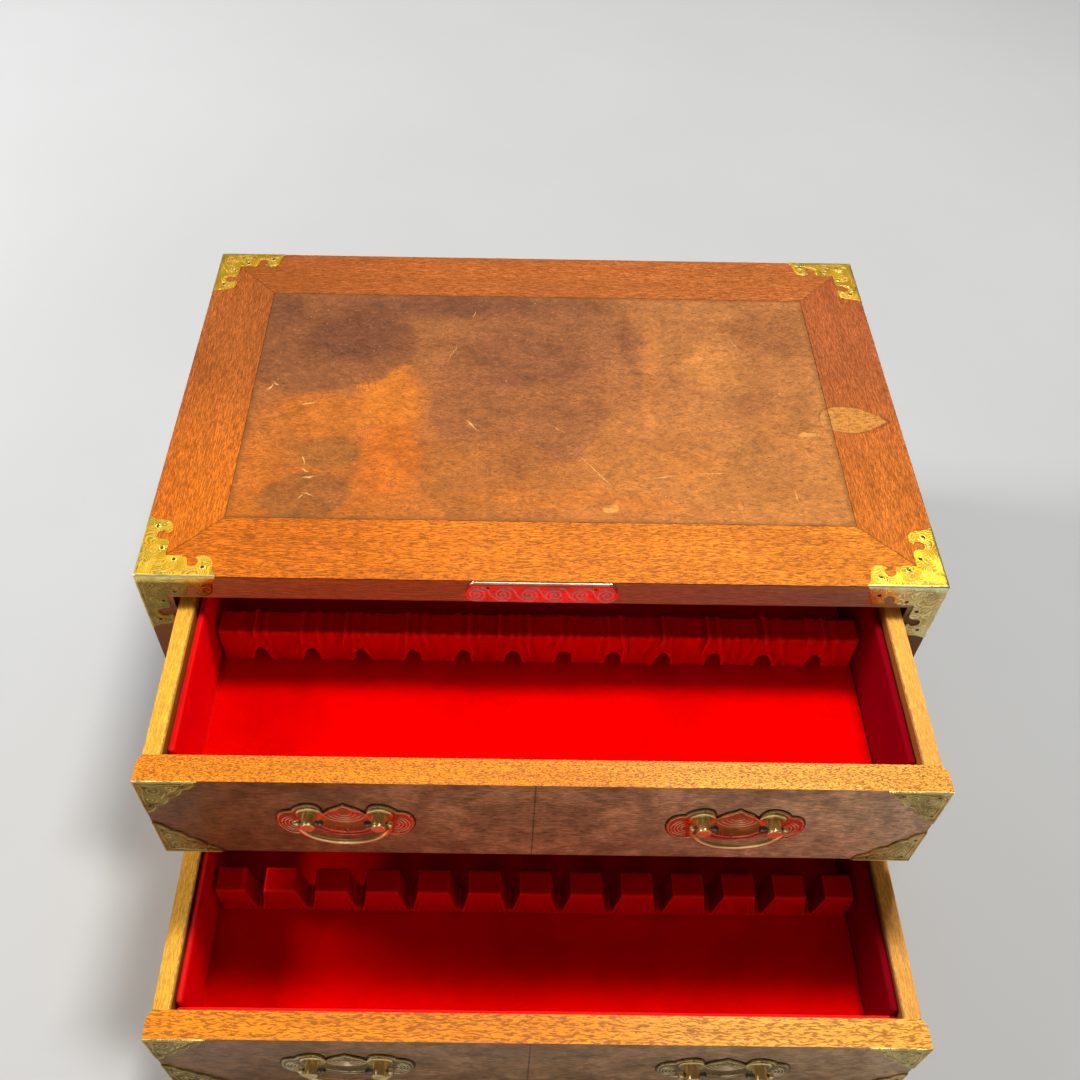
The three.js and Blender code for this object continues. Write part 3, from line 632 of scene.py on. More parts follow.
def sheet_metal(outline, thickness, rounding):
    """A flat plate from z = 0 to z = thickness with its front edge rounded over."""
    outline = np.array(outline, float)
    rings = [lifted(outline, 0.0), lifted(outline, thickness - rounding)]
    for angle in (math.pi / 4, math.pi / 2):
        moved = inset(outline, rounding * (1 - math.cos(angle)))
        rings.append(lifted(moved, thickness - rounding * (1 - math.sin(angle))))
    return skin(rings)


def placed(part, origin, across, up, out):
    """A part drawn in x, y and z put at origin with those axes along across, up and out."""
    vertices, faces = part
    axes = np.array((across, up, out), float)
    moved = np.array(origin, float) + vertices @ axes
    if np.linalg.det(axes) < 0:
        faces = [tuple(reversed(face)) for face in faces]
    return moved, faces


def box_mm(node):
    """The lowest and the highest corner of a CAD node, in millimetres."""
    return [np.array(corner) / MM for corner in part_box(node)]


def fit(piece, body, slot, *nodes):
    """Says which body a piece rides on and hides the CAD nodes it stands for; slot is not used."""
    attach(piece, body)
    if nodes:
        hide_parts(*nodes)


def make_piece(name, parts, body, slot, *nodes):
    """Joins parts, each (part, material) in millimetres, into one object that rides on a body."""
    vertices, faces, choices, used = [], [], [], []
    start = 0
    for (points, sides), material in parts:
        if material not in used:
            used.append(material)
        vertices.append(np.array(points, float) * MM)
        faces.extend([tuple(at + start for at in face) for face in sides])
        choices.extend([used.index(material)] * len(sides))
        start += len(points)
    mesh = bpy.data.meshes.new(name)
    mesh.from_pydata(np.concatenate(vertices).tolist(), [], faces)
    for material in used:
        mesh.materials.append(MATERIALS[material])
    mesh.polygons.foreach_set("material_index", choices)
    mesh.update()
    mesh.shade_smooth()
    mesh.set_sharp_from_angle(angle=math.radians(SHARP_ANGLE))
    piece = bpy.data.objects.new(name, mesh)
    bpy.context.scene.collection.objects.link(piece)
    piece.modifiers.new("flat_faces", "WEIGHTED_NORMAL").keep_sharp = True
    fit(piece, body, slot, *nodes)


def put_brass(node, parts, body, origin, axes):
    """Puts brass parts in the place of a CAD node, with their x, y and z along the axes."""
    moved = [(placed(part, origin, *axes), kind) for part, kind in parts]
    make_piece(node + "_brass", moved, body, "brass", node)


def curve(*points, steps=6):
    """Points on a smooth curve through the given 2D points."""
    points = np.array(points, float)
    padded = np.vstack((2 * points[0] - points[1], points, 2 * points[-1] - points[-2]))
    found = []
    for at in range(len(points) - 1):
        a, b, c, d = padded[at:at + 4]
        for step in range(steps):
            t = step / steps
            found.append(0.5 * (2 * b + (c - a) * t + (2 * a - 5 * b + 4 * c - d) * t * t
                                + (3 * b - 3 * c + d - a) * t ** 3))
    found.append(points[-1])
    return np.array(found)


def bend(start, control, end, steps=4):
    """Points of a quadratic curve, without its start."""
    start, control, end = (np.array(p, float) for p in (start, control, end))
    ts = np.arange(1, steps + 1)[:, None] / steps
    return (1 - ts) ** 2 * start + 2 * ts * (1 - ts) * control + ts ** 2 * end


def spiral(centre, radius, turns, start, steps=26, inner=0.12):
    """A scroll that winds in from radius; a negative number of turns winds clockwise."""
    shares = np.linspace(0, 1, steps)[:, None]
    angles = math.radians(start) + shares * turns * 2 * math.pi
    reach = radius * (1 - shares * (1 - inner))
    return np.array(centre) + reach * np.hstack((np.cos(angles), np.sin(angles)))


def chased(line, width, height, kind):
    """A raised line on a plate at height, which tapers to nothing at both ends."""
    shares = np.linspace(0, 1, len(line))
    taper = np.minimum(1.0, 6 * np.minimum(shares, 1 - shares) + 0.25)
    return tube(lifted(line, height), width * taper), kind


def rimmed(outline, width, height, radius, kind):
    """A raised line all round an outline, width inside it."""
    rim = inset(outline, width)
    return tube(lifted(np.vstack((rim, rim[:1])), height), radius), kind


def pinned(places, height, kind, radius=0.95):
    """Dark domed pins and the brass rims that are pressed up round them."""
    dome = [(radius * math.cos(a), radius * 0.5 * math.sin(a)) for a in np.linspace(0, 1.45, 5)]
    head = lathe([(radius, -0.3), *dome], 12)
    rim = lathe([(radius + 0.6, -0.3), (radius + 0.5, 0.10), (radius + 0.2, 0.20), (radius - 0.1, 0.02)], 14)
    parts = []
    for x, y in places:
        for (points, faces), metal in ((head, "tarnish_and_shadow_brass"), (rim, kind)):
            parts.append(((points + (x, y, height), faces), metal))
    return parts


# -------- brasses of the case

CORNER_ARM = 48.0
CORNER_WIDTH = 16.0
NOTCH = (CORNER_ARM * 0.68, CORNER_WIDTH - 5.2)
NOTCH_RADIUS = 3.2
BRASS = 0.8
BRASS_EDGE = 0.3
BRASS_PROUD = 0.85
FOLD = 1.8
CHASING_SUNK = 0.04


def corner_arm():
    """The scalloped inner edge of one arm, from the inner corner to the tip on the fold."""
    width, (notch, depth), radius = CORNER_WIDTH, NOTCH, NOTCH_RADIUS
    points = [(width, width), (notch - 7, width)]

    def go(control, end):
        points.extend(bend(points[-1], control, end, 5))

    go((notch - radius, width), (notch - radius, depth))
    points.extend(arc(NOTCH, radius, math.pi, 2 * math.pi, 10)[1:])
    go((notch + radius, width - 3), (notch + 1, width - 2))
    go((notch + 2.5, width + 0.6), (notch + 6, width + 0.4))
    go((CORNER_ARM - 3, width), (CORNER_ARM - 3, width - 8))
    go((CORNER_ARM - 2.5, 4), (CORNER_ARM - 0.4, FOLD - BRASS_PROUD))
    return np.array(points)


def corner_face():
    """One L-shaped face with its chasing and pins, in x and y, its outside towards +z."""
    start = FOLD - BRASS_PROUD
    arm = corner_arm()
    outline = np.vstack(((start, start), arm[::-1], arm[1:, ::-1]))
    edge_lines = [inset(outline, width)[1:len(arm)] for width in (1.3, 2.2)]
    strokes = [edge_lines[0][2:-2], edge_lines[1][8:-6], spiral((20.5, 8.4), 4.4, -1.7, 150),
               curve((3.0, 12), (3.6, 18), (6.5, 22), (11.5, 22.5), (14.6, 19.8)),
               curve((5, 3.2), (12, 3.6), (15.5, 6.4), (16.2, 10), (20.5, 13)),
               curve((12.6, 2.6), (18, 2.9), (22, 2.5), (26, 3.6)),
               spiral((41.4, 11.0), 2.9, 1.2, 200), curve((37, 3.2), (40, 4.6), (43.6, 4.0))]
    # Short rays under the notch, and three arcs by the inner corner.
    start, stop = math.radians(-128), math.radians(-52)
    rays = [arc(NOTCH, reach, start, stop, 6) for reach in np.linspace(4.3, 7.6, 5)]
    strokes += list(np.swapaxes(rays, 0, 1))
    strokes += [arc((13.4, 12.6), radius, -2.6, -0.9, 8) for radius in (2.2, 3.4, 4.6)]
    height = BRASS - CHASING_SUNK
    parts = [(sheet_metal(outline, BRASS, BRASS_EDGE), "corner_brass")]
    for stroke in strokes:
        parts += [chased(line, 0.30, height, "corner_line") for line in (stroke, stroke[:, ::-1])]
    parts.append(chased(spiral((7.6, 7.6), 4.0, 1.6, 45), 0.34, height, "corner_line"))
    places = ((21.6, 12.8), (12.8, 21.6), (39.4, 7.0), (7.0, 39.4))
    return parts + pinned(places, BRASS, "corner_line", 1.25)


def fold_strip(length):
    """A quarter of a pipe along x, which joins two faces of a bent corner."""
    centre = FOLD - BRASS_PROUD
    outer = arc((centre, centre), FOLD, math.pi, 1.5 * math.pi, 9)
    inner = arc((centre, centre), FOLD - BRASS, math.pi, 1.5 * math.pi, 9)
    section = np.vstack((outer, inner[::-1]))
    return skin([np.column_stack((np.full(len(section), x), section)) for x in (centre, length)])


def corner_brass():
    """The whole three-faced brass of the corner whose wood lies towards +x, +y and +z."""
    face = corner_face()
    x, y, z = np.eye(3)
    parts = []
    for across, up, out in ((x, y, -z), (x, z, -y), (y, z, -x)):
        origin = out * (BRASS_PROUD - BRASS)
        parts += [(placed(part, origin, across, up, out), kind) for part, kind in face]
    strip = fold_strip(CORNER_ARM - 0.4)
    for shift in range(3):
        parts.append((placed(strip, (0, 0, 0), *np.roll(np.eye(3), shift, 1)), "fold_brass"))
    ball, sides = lathe([(FOLD * math.sin(a), -FOLD * math.cos(a)) for a in np.linspace(0.05, 3.09, 14)])
    parts.append(((ball + (FOLD - BRASS_PROUD), sides), "fold_brass"))
    return parts


def add_case_corners():
    parts = corner_brass()
    base, panel = box_mm("case_bottom"), box_mm("top_panel")
    xs = (box_mm("case_side_left")[0][0], box_mm("case_side_right")[1][0])
    ys = (base[0][1], base[1][1])
    zs = (base[0][2], panel[1][2])
    for level, z, up in zip(("bottom", "top"), zs, (1, -1)):
        for depth, y, inward in zip(("front", "back"), ys, (1, -1)):
            for side, x, across in zip(SIDES, xs, (1, -1)):
                axes = ((across, 0, 0), (0, inward, 0), (0, 0, up))
                put_brass(f"corner_{level}_{depth}_{side}", parts, "case", (x, y, z), axes)


FORWARD = ((1, 0, 0), (0, 0, 1), (0, -1, 0))

PLAQUE_SPIRALS = 6
PLAQUE_SPIRAL_PITCH = 15.6
PLAQUE_SPIRAL_RADIUS = 6.2
PLAQUE_SPIRAL_TURNS = 2.1
PLAQUE_SPIRAL_HEIGHT = -1.6


def add_plaque():
    """The scrolled plaque in the middle of the front rail: a row of spirals under a rolled top edge."""
    lowest, highest = box_mm("front_plaque")
    half, top = (highest[0] - lowest[0]) / 2, (highest[2] - lowest[2]) / 2
    end = top * 0.9
    right = np.vstack((arc((half - end, end - top), end, -math.pi / 2, math.radians(66), 16),
                       arc((half - end + 2.6, top - 0.9), 0.9, 0, math.pi / 2, 4)))
    outline = np.vstack((right, right[::-1] * (-1, 1)))
    parts = [(sheet_metal(outline, BRASS, BRASS_EDGE), "plaque_brass"),
             rimmed(outline, 0.7, BRASS - 0.1, 0.4, "plaque_brass")]
    # The top edge is rolled forward, and the roll runs out round the ends.
    shoulder = [(half - 1.0, -0.5), (half - 2.6, 3.6),
                (half - end + 2.4, top - 1.5), (half - end - 5, top - 1.1)]
    roll = curve(*np.multiply(shoulder, (-1, 1)), (0, top - 1.1), *shoulder[::-1])
    from_end = np.minimum(np.arange(len(roll)), np.arange(len(roll))[::-1])
    thick = 0.40 + 0.90 * np.clip(from_end / 14, 0, 1)
    parts.append((tube(lifted(roll, BRASS - 0.1), thick, 12), "rolled_brass"))
    for place in range(PLAQUE_SPIRALS):
        x = (place - (PLAQUE_SPIRALS - 1) / 2) * PLAQUE_SPIRAL_PITCH
        turn, start = (1, -150) if place < PLAQUE_SPIRALS / 2 else (-1, -30)
        middle = (x, PLAQUE_SPIRAL_HEIGHT)
        ring = spiral(middle, PLAQUE_SPIRAL_RADIUS, turn * PLAQUE_SPIRAL_TURNS, start, 48, 0.08)
        parts.append(chased(ring, 0.66, BRASS + 0.05, "plaque_line"))
        if place + 1 < PLAQUE_SPIRALS:
            link = curve((x + 2.6, 4.4), (x + 6.2, 3.2), (x + 9.4, -3.4), (x + 13.2, -6.6))
            parts.append(chased(link, 0.6, BRASS, "plaque_line"))
    parts += pinned(((-half + 14.5, 3.8), (half - 14.5, 3.8)), BRASS, "plaque_brass")
    middle = (lowest + highest) / 2
    put_brass("front_plaque", parts, "case", (middle[0], highest[1], middle[2]), FORWARD)


# -------- brasses of the drawers

def drawer_corner_parts(leg):
    """A triangular brass in x and y with a scalloped long side, chased leaves and three pins."""
    scallops, depth, thickness = 4, leg * 0.075, 1.0
    outline = [(0.0, 0.0), (leg, 0.0)]
    for scallop in range(scallops):
        start, end = 1 - scallop / scallops, 1 - (scallop + 1) / scallops
        middle = (start + end) / 2
        control = (leg * middle + depth, leg * (1 - middle) + depth)
        outline.extend(bend((leg * start, leg * (1 - start)), control, (leg * end, leg * (1 - end)), 6))
    outline = np.array(outline)
    height = thickness - CHASING_SUNK
    parts = [(sheet_metal(outline, thickness, BRASS_EDGE), "aged_brass"),
             chased(inset(outline, 1.5)[2:], 0.36, height, "aged_line")]
    for edge in (((0.6, 0.7), (leg - 1.5, 0.7)), ((0.7, 0.6), (0.7, leg - 1.5))):
        parts.append((tube(lifted(np.linspace(*edge, 8), thickness - 0.2), 0.55, 8), "aged_line"))
    strokes = [spiral((9, 9), 4.4, 1.5, -40), spiral((19, 6.5), 3.4, -1.4, 120),
               spiral((6.5, 19), 3.4, 1.4, -30), curve((3, 3), (8, 4), (14, 3), (20, 2.4), (27, 3)),
               curve((3, 3), (4, 8), (3, 14), (2.4, 20), (3, 27))]
    for leaf in range(4):
        x, y = 4.5 * leaf, -4.5 * leaf
        strokes.append(curve((12 + x, 17.5 + y), (14 + x, 15 + y), (15.5 + x, 11.5 - 4.0 * leaf), steps=4))
    parts += [chased(stroke, 0.42, height, "aged_line") for stroke in strokes]
    return parts + pinned(((6, 5.5), (leg - 9, 4.0), (4.0, leg - 9)), thickness, "aged_brass")


def add_drawer_corners():
    for drawer in DRAWERS:
        for level, up in (("top", -1), ("bottom", 1)):
            for side, across in (("left", 1), ("right", -1)):
                node = f"{drawer}_corner_{level}_{side}"
                lowest, highest = box_mm(node)
                edge = lowest if across > 0 else highest
                level_z = lowest[2] if up > 0 else highest[2]
                origin = (edge[0], highest[1], level_z)
                parts = drawer_corner_parts(highest[0] - lowest[0])
                put_brass(node, parts, drawer, origin, ((across, 0, 0), (0, 0, up), (0, -1, 0)))


# The right half of a pull plate's outline: each curve's control point and end.
PLATE_CURVES = (
    ((3, 8.5), (6, 7)), ((9.5, 5), (12, 1)), ((12.5, 8), (16, 10.3)), ((19.5, 12), (24, 9.5)),
    ((28, 7.5), (29.5, 3.9)), ((36, 4), (38, -2)), ((40.5, -10), (36.5, -17)), ((33.5, -23.5), (27, -23)),
    ((21, -22.5), (18.5, -17.5)), ((15, -18.5), (13, -20.5)), ((7, -24.8), (0, -24.3)),
)
PLATE_CROWN = 11.3
PLATE = 1.2
POST_SPACING = 39.0
POST_RADIUS = 4.15
POST_LENGTH = 10.0


def plate_outline():
    right = [(0.0, PLATE_CROWN)]
    for control, end in PLATE_CURVES:
        right.extend(bend(right[-1], control, end, 5))
    right = np.array(right)
    return np.vstack((right, right[::-1][1:-1] * (-1, 1)))[::-1]


def pull_plate_parts():
    """The fretted backplate, its two posts on domed bosses, chased arcs and pins."""
    outline = plate_outline()
    parts = [(sheet_metal(outline, PLATE, 0.35), "plate_brass"),
             # A dark sheet a little wider than the plate, under it: a painted shadow round the plate's edge.
             (sheet_metal(inset(outline, -0.6), 0.35, 0.1), "tarnish_and_shadow_brass"),
             rimmed(outline, 1.1, PLATE - 0.1, 0.3, "plate_line")]
    strokes = []
    for side in (-1, 1):
        for reach in (3.2, 5.2, 7.2, 9.0):
            strokes.append(arc((side * 27.0, -10.0), (side * reach, reach), -1.6, 1.2, 14))
        strokes.append(curve((side * 14.5, -13.5), (side * 10, -17.5), (side * 4, -19.6), (0, -20.0)))
        strokes.append(curve((side * 13, -1.5), (side * 9.5, 2.8), (side * 4.5, 5.6), (side * 2.0, 8.6)))
    for reach in (3.4, 5.8, 8.2, 10.6):
        strokes.append(arc((0, 3.0), (reach * 1.2, -reach), 0.35, math.pi - 0.35, 14))
    parts += [chased(stroke, 0.32, PLATE - 0.02, "plate_line") for stroke in strokes]
    boss = np.array(((7.7, -0.3), (7.6, 0.4), (7.1, 0.85), (6.2, 1.0), (4.6, 1.05))) + (0, PLATE)
    neck = POST_RADIUS - 0.35
    post = [(neck, PLATE), (neck, PLATE + 1.7), (POST_RADIUS, PLATE + 2.0), (POST_RADIUS, POST_LENGTH - 0.9),
            (POST_RADIUS - 0.2, POST_LENGTH - 0.3), (POST_RADIUS - 0.8, POST_LENGTH)]
    for side in (-1, 1):
        for turned, faces in (lathe(boss, 32), lathe(post, 32)):
            parts.append(((turned + (side * POST_SPACING / 2, 0, 0), faces), "rod_brass"))
    places = ((0, 7.6), (0, -18.2), (-30.5, -19.2), (30.5, -19.2), (-19.5, 9.0), (19.5, 9.0))
    return parts + pinned(places, PLATE, "plate_brass", 0.8)


BAIL_HALF_WIDTH = 26.7
BAIL_DROP = 22.0
BAIL_ROD = 1.35
BAIL_SWELL = 0.50
BAIL_FLATTENED = 0.85
BAIL_BALL = 1.8
BAIL_POINTS = 41
BAIL_PIN_TIP = 11.5
PIN_STANDOFF = 6.5
PLATE_GAP = 0.05


def bail_parts():
    """The bail in x and y round its pin line: pins, ball elbows and a grip that thickens in the middle."""
    ball_x = BAIL_HALF_WIDTH - 0.9
    reach = (-BAIL_HALF_WIDTH, -BAIL_DROP)
    grip = lifted(arc((0, 0), reach, 0.06 * math.pi, 0.94 * math.pi, BAIL_POINTS), 0.0)
    ends = np.array(((-ball_x + 0.3, -0.6, 0),))
    route = np.vstack((ends, grip, ends * (-1, 1, 1)))
    rod, faces = tube(route, BAIL_ROD + BAIL_SWELL * np.sin(np.linspace(0, math.pi, len(route))), 14)
    # The grip is a little flattened, so that it clears its plate.
    parts = [((rod * (1, 1, BAIL_FLATTENED), faces), "rod_brass")]
    ball = arc((0, 0), (BAIL_BALL, -BAIL_BALL), math.pi / 2 - 0.1, math.pi / 2 - 3.04, 10)
    for side in (-1, 1):
        pin = np.linspace((side * BAIL_PIN_TIP, 0, 0), (side * ball_x, 0, 0), 10)
        parts.append((tube(pin, BAIL_ROD, 12), "pin_steel"))
        nut = np.linspace((side * BAIL_PIN_TIP, 0, 0), (side * (BAIL_PIN_TIP + 3.0), 0, 0), 5)
        parts.append((tube(nut, (1.3, 1.9, 1.9, 1.9, 1.6), 14), "pin_steel"))
        turned, faces = lathe(ball, 18)
        parts.append(((turned + (side * ball_x, 0, 0), faces), "rod_brass"))
    return parts


def add_pulls():
    plate, bail = pull_plate_parts(), bail_parts()
    for drawer in DRAWERS:
        face_y = box_mm(drawer + "_front")[0][1]
        for side in SIDES:
            plate_node, bail_node = f"{drawer}_pull_plate_{side}", f"{drawer}_bail_{side}"
            lowest, highest = box_mm(plate_node)
            x, pin_z = (lowest[0] + highest[0]) / 2, highest[2] - PLATE_CROWN
            put_brass(plate_node, plate, drawer, (x, face_y - PLATE_GAP, pin_z), FORWARD)
            put_brass(bail_node, bail, bail_node, (x, face_y - PIN_STANDOFF, pin_z), FORWARD)


# -------- velvet pieces

RACK_PITCH = 32.0
RACK_SLOTS = 12
RACK_SLOT_RADIUS = 5.4
RACK_SLOT_FOOT = 4.0
RACK_END_GAP = 1.5
RACK_MARGIN = 0.5
RACK_VOXEL = 0.9
ARCH_RADIUS = 5.9
ARCH_HEIGHT = 12.4
PLEAT_SEED = 7
BOARD_ROUNDS = 6
RACK_SETTLING = 4
# Each velvet board: its voxel, how uneven its pile is and how far its top is raised, in mm.
VELVET_BOARDS = {
    "floor_pad": (2.6, 0.22, 0), "lining_front": (1.4, 0.2, -4.5),
    "lining_left": (1.4, 0.2, 2.8), "lining_right": (1.4, 0.2, 1.4),
}
SLOT_MIDDLES = [(slot - (RACK_SLOTS - 1) / 2) * RACK_PITCH for slot in range(RACK_SLOTS)]


def relax(piece, rounds):
    """Smooths a piece that many times, and makes its mesh what all its modifiers make of it."""
    smoothing = piece.modifiers.new("relax", "SMOOTH")
    smoothing.factor, smoothing.iterations = 0.5, rounds
    graph = bpy.context.evaluated_depsgraph_get()
    old, mesh = piece.data, bpy.data.meshes.new_from_object(piece.evaluated_get(graph))
    piece.modifiers.clear()
    piece.data = mesh
    bpy.data.meshes.remove(old)
    mesh.shade_smooth()


def per_vertex(mesh, name):
    """A vector for each vertex of a mesh: its place ("co") or its normal ("normal")."""
    numbers = np.zeros(len(mesh.vertices) * 3, np.float32)
    mesh.vertices.foreach_get(name, numbers)
    return numbers.reshape(-1, 3).astype(float)


def velvet_piece(node, part, voxel, rounds, push):
    """Velvet in the place of a CAD node, from a closed part in millimetres.

    The part is remeshed finely and relaxed, so that its edges are soft, and then every point moves along
    its normal by push(points) millimetres.
    """
    mesh = bpy.data.meshes.new(node + "_velvet")
    mesh.from_pydata((part[0] * MM).tolist(), [], part[1])
    piece = bpy.data.objects.new(node + "_velvet", mesh)
    bpy.context.scene.collection.objects.link(piece)
    remesh = piece.modifiers.new("remesh", "REMESH")
    remesh.mode = "VOXEL"
    remesh.voxel_size = voxel * MM
    relax(piece, rounds)
    mesh = piece.data
    mesh.materials.clear()
    mesh.materials.append(MATERIALS["velvet"])
    points = per_vertex(mesh, "co")
    points = points + per_vertex(mesh, "normal") * push(points)[:, None] * MM
    mesh.vertices.foreach_set("co", points.astype(np.float32).ravel())
    mesh.update()
    return piece


def fit_velvet(piece, drawer, node):
    fit(piece, drawer, "velvet", node)


def ripple(points, scale, seed):
    """A smooth noise from -1 to 1 at each point."""
    return np.array([noise.noise(Vector(p) * scale + Vector((seed, seed * 1.7, -seed))) for p in points])


def add_velvet_board(drawer, board, voxel, swell, rise):
    """A velvet-covered board or pad with rolled edges and an uneven pile, its top raised by rise."""
    node = f"{drawer}_{board}"
    (left, front, base), (right, back, top) = box_mm(node)
    sides = np.array(((left, front), (right, front), (right, back), (left, back)))

    def push(points):
        return ripple(points, 45.0, 3.0) * swell + ripple(points, 160.0, 9.0) * swell * 0.35

    part = skin([lifted(sides, base), lifted(sides, top + rise)])
    fit_velvet(velvet_piece(node, part, voxel, BOARD_ROUNDS, push), drawer, node)


def arched_outline(half, height):
    """The upright section of the upper rack, with uneven arches along its foot."""
    points = [(-half, 0)]
    for slot, middle in enumerate(SLOT_MIDDLES):
        lean = 1.6 * math.sin(slot * 2.4)
        points.append((middle - ARCH_RADIUS, 0))
        for turn in np.linspace(math.pi, 0, 12):
            rise = math.sin(turn) ** 0.75
            points.append((middle + ARCH_RADIUS * math.cos(turn) + lean * rise, ARCH_HEIGHT * rise))
        points.append((middle + ARCH_RADIUS, 0))
    return np.array((*points, (half, 0), (half, height), (-half, height)))


def comb_outline(half, height):
    """The upright section of the lower rack: blocks parted by slots that narrow to a round foot."""
    points = [(-half, 0), (half, 0), (half, height)]
    mouth, narrow = RACK_SLOT_RADIUS + 0.4, RACK_SLOT_RADIUS * 0.55
    for middle in reversed(SLOT_MIDDLES):
        points.append((middle + mouth, height))
        points.extend(arc((middle, RACK_SLOT_FOOT + narrow), (narrow, -narrow), 0, math.pi, 12))
        points.append((middle - mouth, height))
    return np.array((*points, (-half, height)))


def arch_folds(points, x, z):
    """How far the gathered velvet of the upper rack stands out: soft pleats that rise from each arch and
    run on over the top, and a rolled lip round the arch."""
    draw = np.random.default_rng(PLEAT_SEED)
    push = 0.3 * ripple(points, 55.0, 5.0)
    for middle in SLOT_MIDDLES:
        for side in (-1, 1):
            for pleat in range(3):
                start = middle + side * (ARCH_RADIUS + 0.6 + 3.7 * pleat + draw.uniform(-0.7, 0.7))
                lean = -side * draw.uniform(0.05, 0.24) + draw.uniform(-0.05, 0.05)
                tall, width = draw.uniform(0.9, 1.6) * (1 - 0.2 * pleat), draw.uniform(1.4, 2.0)
                line = start + lean * z + 0.8 * np.sin(z * 0.20 + draw.uniform(0, 6))
                push = push + tall * np.exp(-((x - line) / width) ** 2)
                push = push - 0.3 * tall * np.exp(-((x - line - side * 3.2) / 2.2) ** 2)
        reach = np.hypot((x - middle) / ARCH_RADIUS, z / ARCH_HEIGHT)
        push = push + 0.8 * np.exp(-((reach - 1.12) / 0.09) ** 2)
    return push


def comb_folds(points, x, z):
    """Creases that run from each slot's mouth down to the foot of the blocks."""
    nearest = np.round(x / RACK_PITCH - 0.5) * RACK_PITCH + RACK_PITCH / 2
    side = np.abs(x - nearest) - RACK_SLOT_RADIUS
    low_down = np.clip(1.2 - z / 18.0, 0, 1)
    crease = np.cos((side - 0.16 * z) * 1.9) * np.exp(-(side / 6.0) ** 2)
    return 0.95 * crease * low_down + 0.35 * ripple(points, 70.0, 2.0)


def add_rack(drawer, outline_of, folds, rounds):
    node = drawer + "_rack"
    lowest, highest = box_mm(node)
    width, _, height = highest - lowest
    outline = outline_of(width / 2 - RACK_END_GAP, height) + (0, lowest[2])
    ends = (highest[1] - RACK_MARGIN, lowest[1] + RACK_MARGIN)

    def push(points):
        above = points[:, 2] / MM - lowest[2]
        return folds(points, points[:, 0] / MM, above) * np.clip(above / 2.0, 0, 1)

    part = skin([np.insert(outline, 1, y, axis=1) for y in ends])
    piece = velvet_piece(node, part, RACK_VOXEL, rounds, push)
    relax(piece, RACK_SETTLING)
    fit_velvet(piece, drawer, node)


def add_velvet():
    racks = {"top_drawer": (arched_outline, arch_folds, 4), "bottom_drawer": (comb_outline, comb_folds, 9)}
    for drawer, rack in racks.items():
        for board, (voxel, swell, rise) in VELVET_BOARDS.items():
            # Only the upper drawer's side linings stand proud.
            rise = rise if drawer == "top_drawer" else min(rise, 0)
            add_velvet_board(drawer, board, voxel, swell, rise)
        add_rack(drawer, *rack)


# -------- boards

FRAMES = [f"top_frame_{side}" for side in ("front", "back", "left", "right")]
BOARD_SWELL = 0.262
EDGE_ANGLE = 40
EDGE_STEPS = 3
GLUE_WIDTH = 0.5
GLUE_DEPTH = 3.0
GLUE_SUNK = 0.03
GLUE_INSET = 1.2


def smooth_edges(width, *nodes, outer=None):
    """Rounds the edges of CAD boards: all of them, or those whose ends outer() picks."""
    for node in nodes:
        bevel = NODES[node].modifiers.new("rounding", "BEVEL")
        bevel.width = width * MM
        bevel.segments = EDGE_STEPS
        bevel.limit_method = "ANGLE"
        bevel.angle_limit = math.radians(EDGE_ANGLE)
        if outer is not None:
            group = NODES[node].vertex_groups.new(name="outer")
            group.add([v.index for v in NODES[node].data.vertices if outer(v.co)], 1.0, "ADD")
            bevel.limit_method = "VGROUP"
            bevel.vertex_group = "outer"


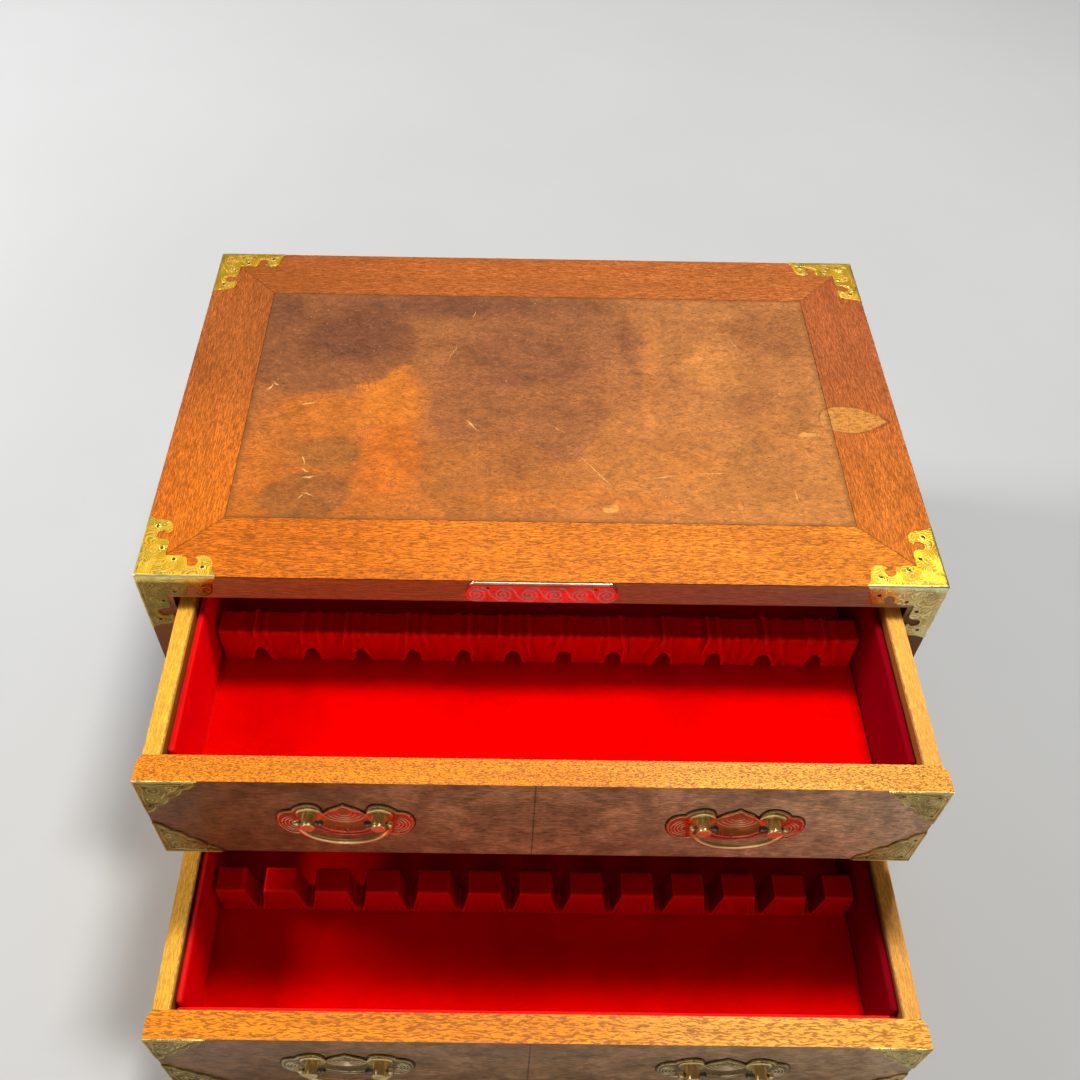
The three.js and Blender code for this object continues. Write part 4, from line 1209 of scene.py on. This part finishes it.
def finish_boards():
    """Gives every board that stays its wood, and rounds the edges that a hand would feel."""
    sides = ["case_side_left", "case_side_right"]
    woods = {
        "border_x": [*FRAMES[:2], "case_bottom", "divider_rail"], "border_y": [*FRAMES[2:], *sides],
        "panel": ["top_panel"], "felt": ["felt_base"], "plain": ["case_back"],
        "drawer_y": ["runner_left", "runner_right"], "drawer_x": [], "front": [],
    }
    for drawer in DRAWERS:
        drawer_sides = [f"{drawer}_side_{side}" for side in SIDES]
        woods["drawer_y"] += drawer_sides
        for wood, board in (("front", "_front"), ("drawer_x", "_back"), ("plain", "_bottom")):
            woods[wood].append(drawer + board)
        smooth_edges(0.7, drawer + "_front")
        smooth_edges(0.8, drawer + "_back")
        smooth_edges(1.6, *drawer_sides)
    for wood, nodes in woods.items():
        for node in nodes:
            NODES[node].data.materials.clear()
            NODES[node].data.materials.append(MATERIALS[wood])
    edge_x, edge_y = (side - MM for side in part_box("case_side_right")[1].xy)
    smooth_edges(0.7, *FRAMES, outer=lambda point: abs(point.x) > edge_x or abs(point.y) > edge_y)
    smooth_edges(0.5, *sides, "case_bottom", "divider_rail")
    # The glue lines of the top are 0.3 mm wide, and each board swells until they almost close.
    for node in (*FRAMES, "top_panel"):
        swelling = NODES[node].modifiers.new("swelling", "DISPLACE")
        swelling.strength, swelling.mid_level = BOARD_SWELL * MM, 0.0


def add_mitre_glue():
    """Dried glue, sunk a little below the surface, fills the mitres between the border boards."""
    outer = np.array((box_mm("top_frame_front")[1][0], box_mm("top_frame_back")[1][1])) - GLUE_INSET
    inner = box_mm("top_panel")[1][:2]
    top = box_mm("top_frame_front")[1][2] - GLUE_SUNK
    sideways = np.array((outer[1] - inner[1], inner[0] - outer[0]))
    sideways *= GLUE_WIDTH / 2 / np.linalg.norm(sideways)
    strip = np.array((inner - sideways, outer - sideways, outer + sideways, inner + sideways))
    part = skin([lifted(strip, top - GLUE_DEPTH), lifted(strip, top)])
    parts = [(placed(part, (0, 0, 0), (across, 0, 0), (0, inward, 0), (0, 0, 1)), "border_x")
             for across in (-1, 1) for inward in (-1, 1)]
    make_piece("mitre_glue", parts, "case", "border_wood")


# -------- the scene

add_camera()
add_studio()
MATERIALS = make_materials()
finish_boards()
add_mitre_glue()
add_case_corners()
add_plaque()
add_drawer_corners()
add_pulls()
add_velvet()
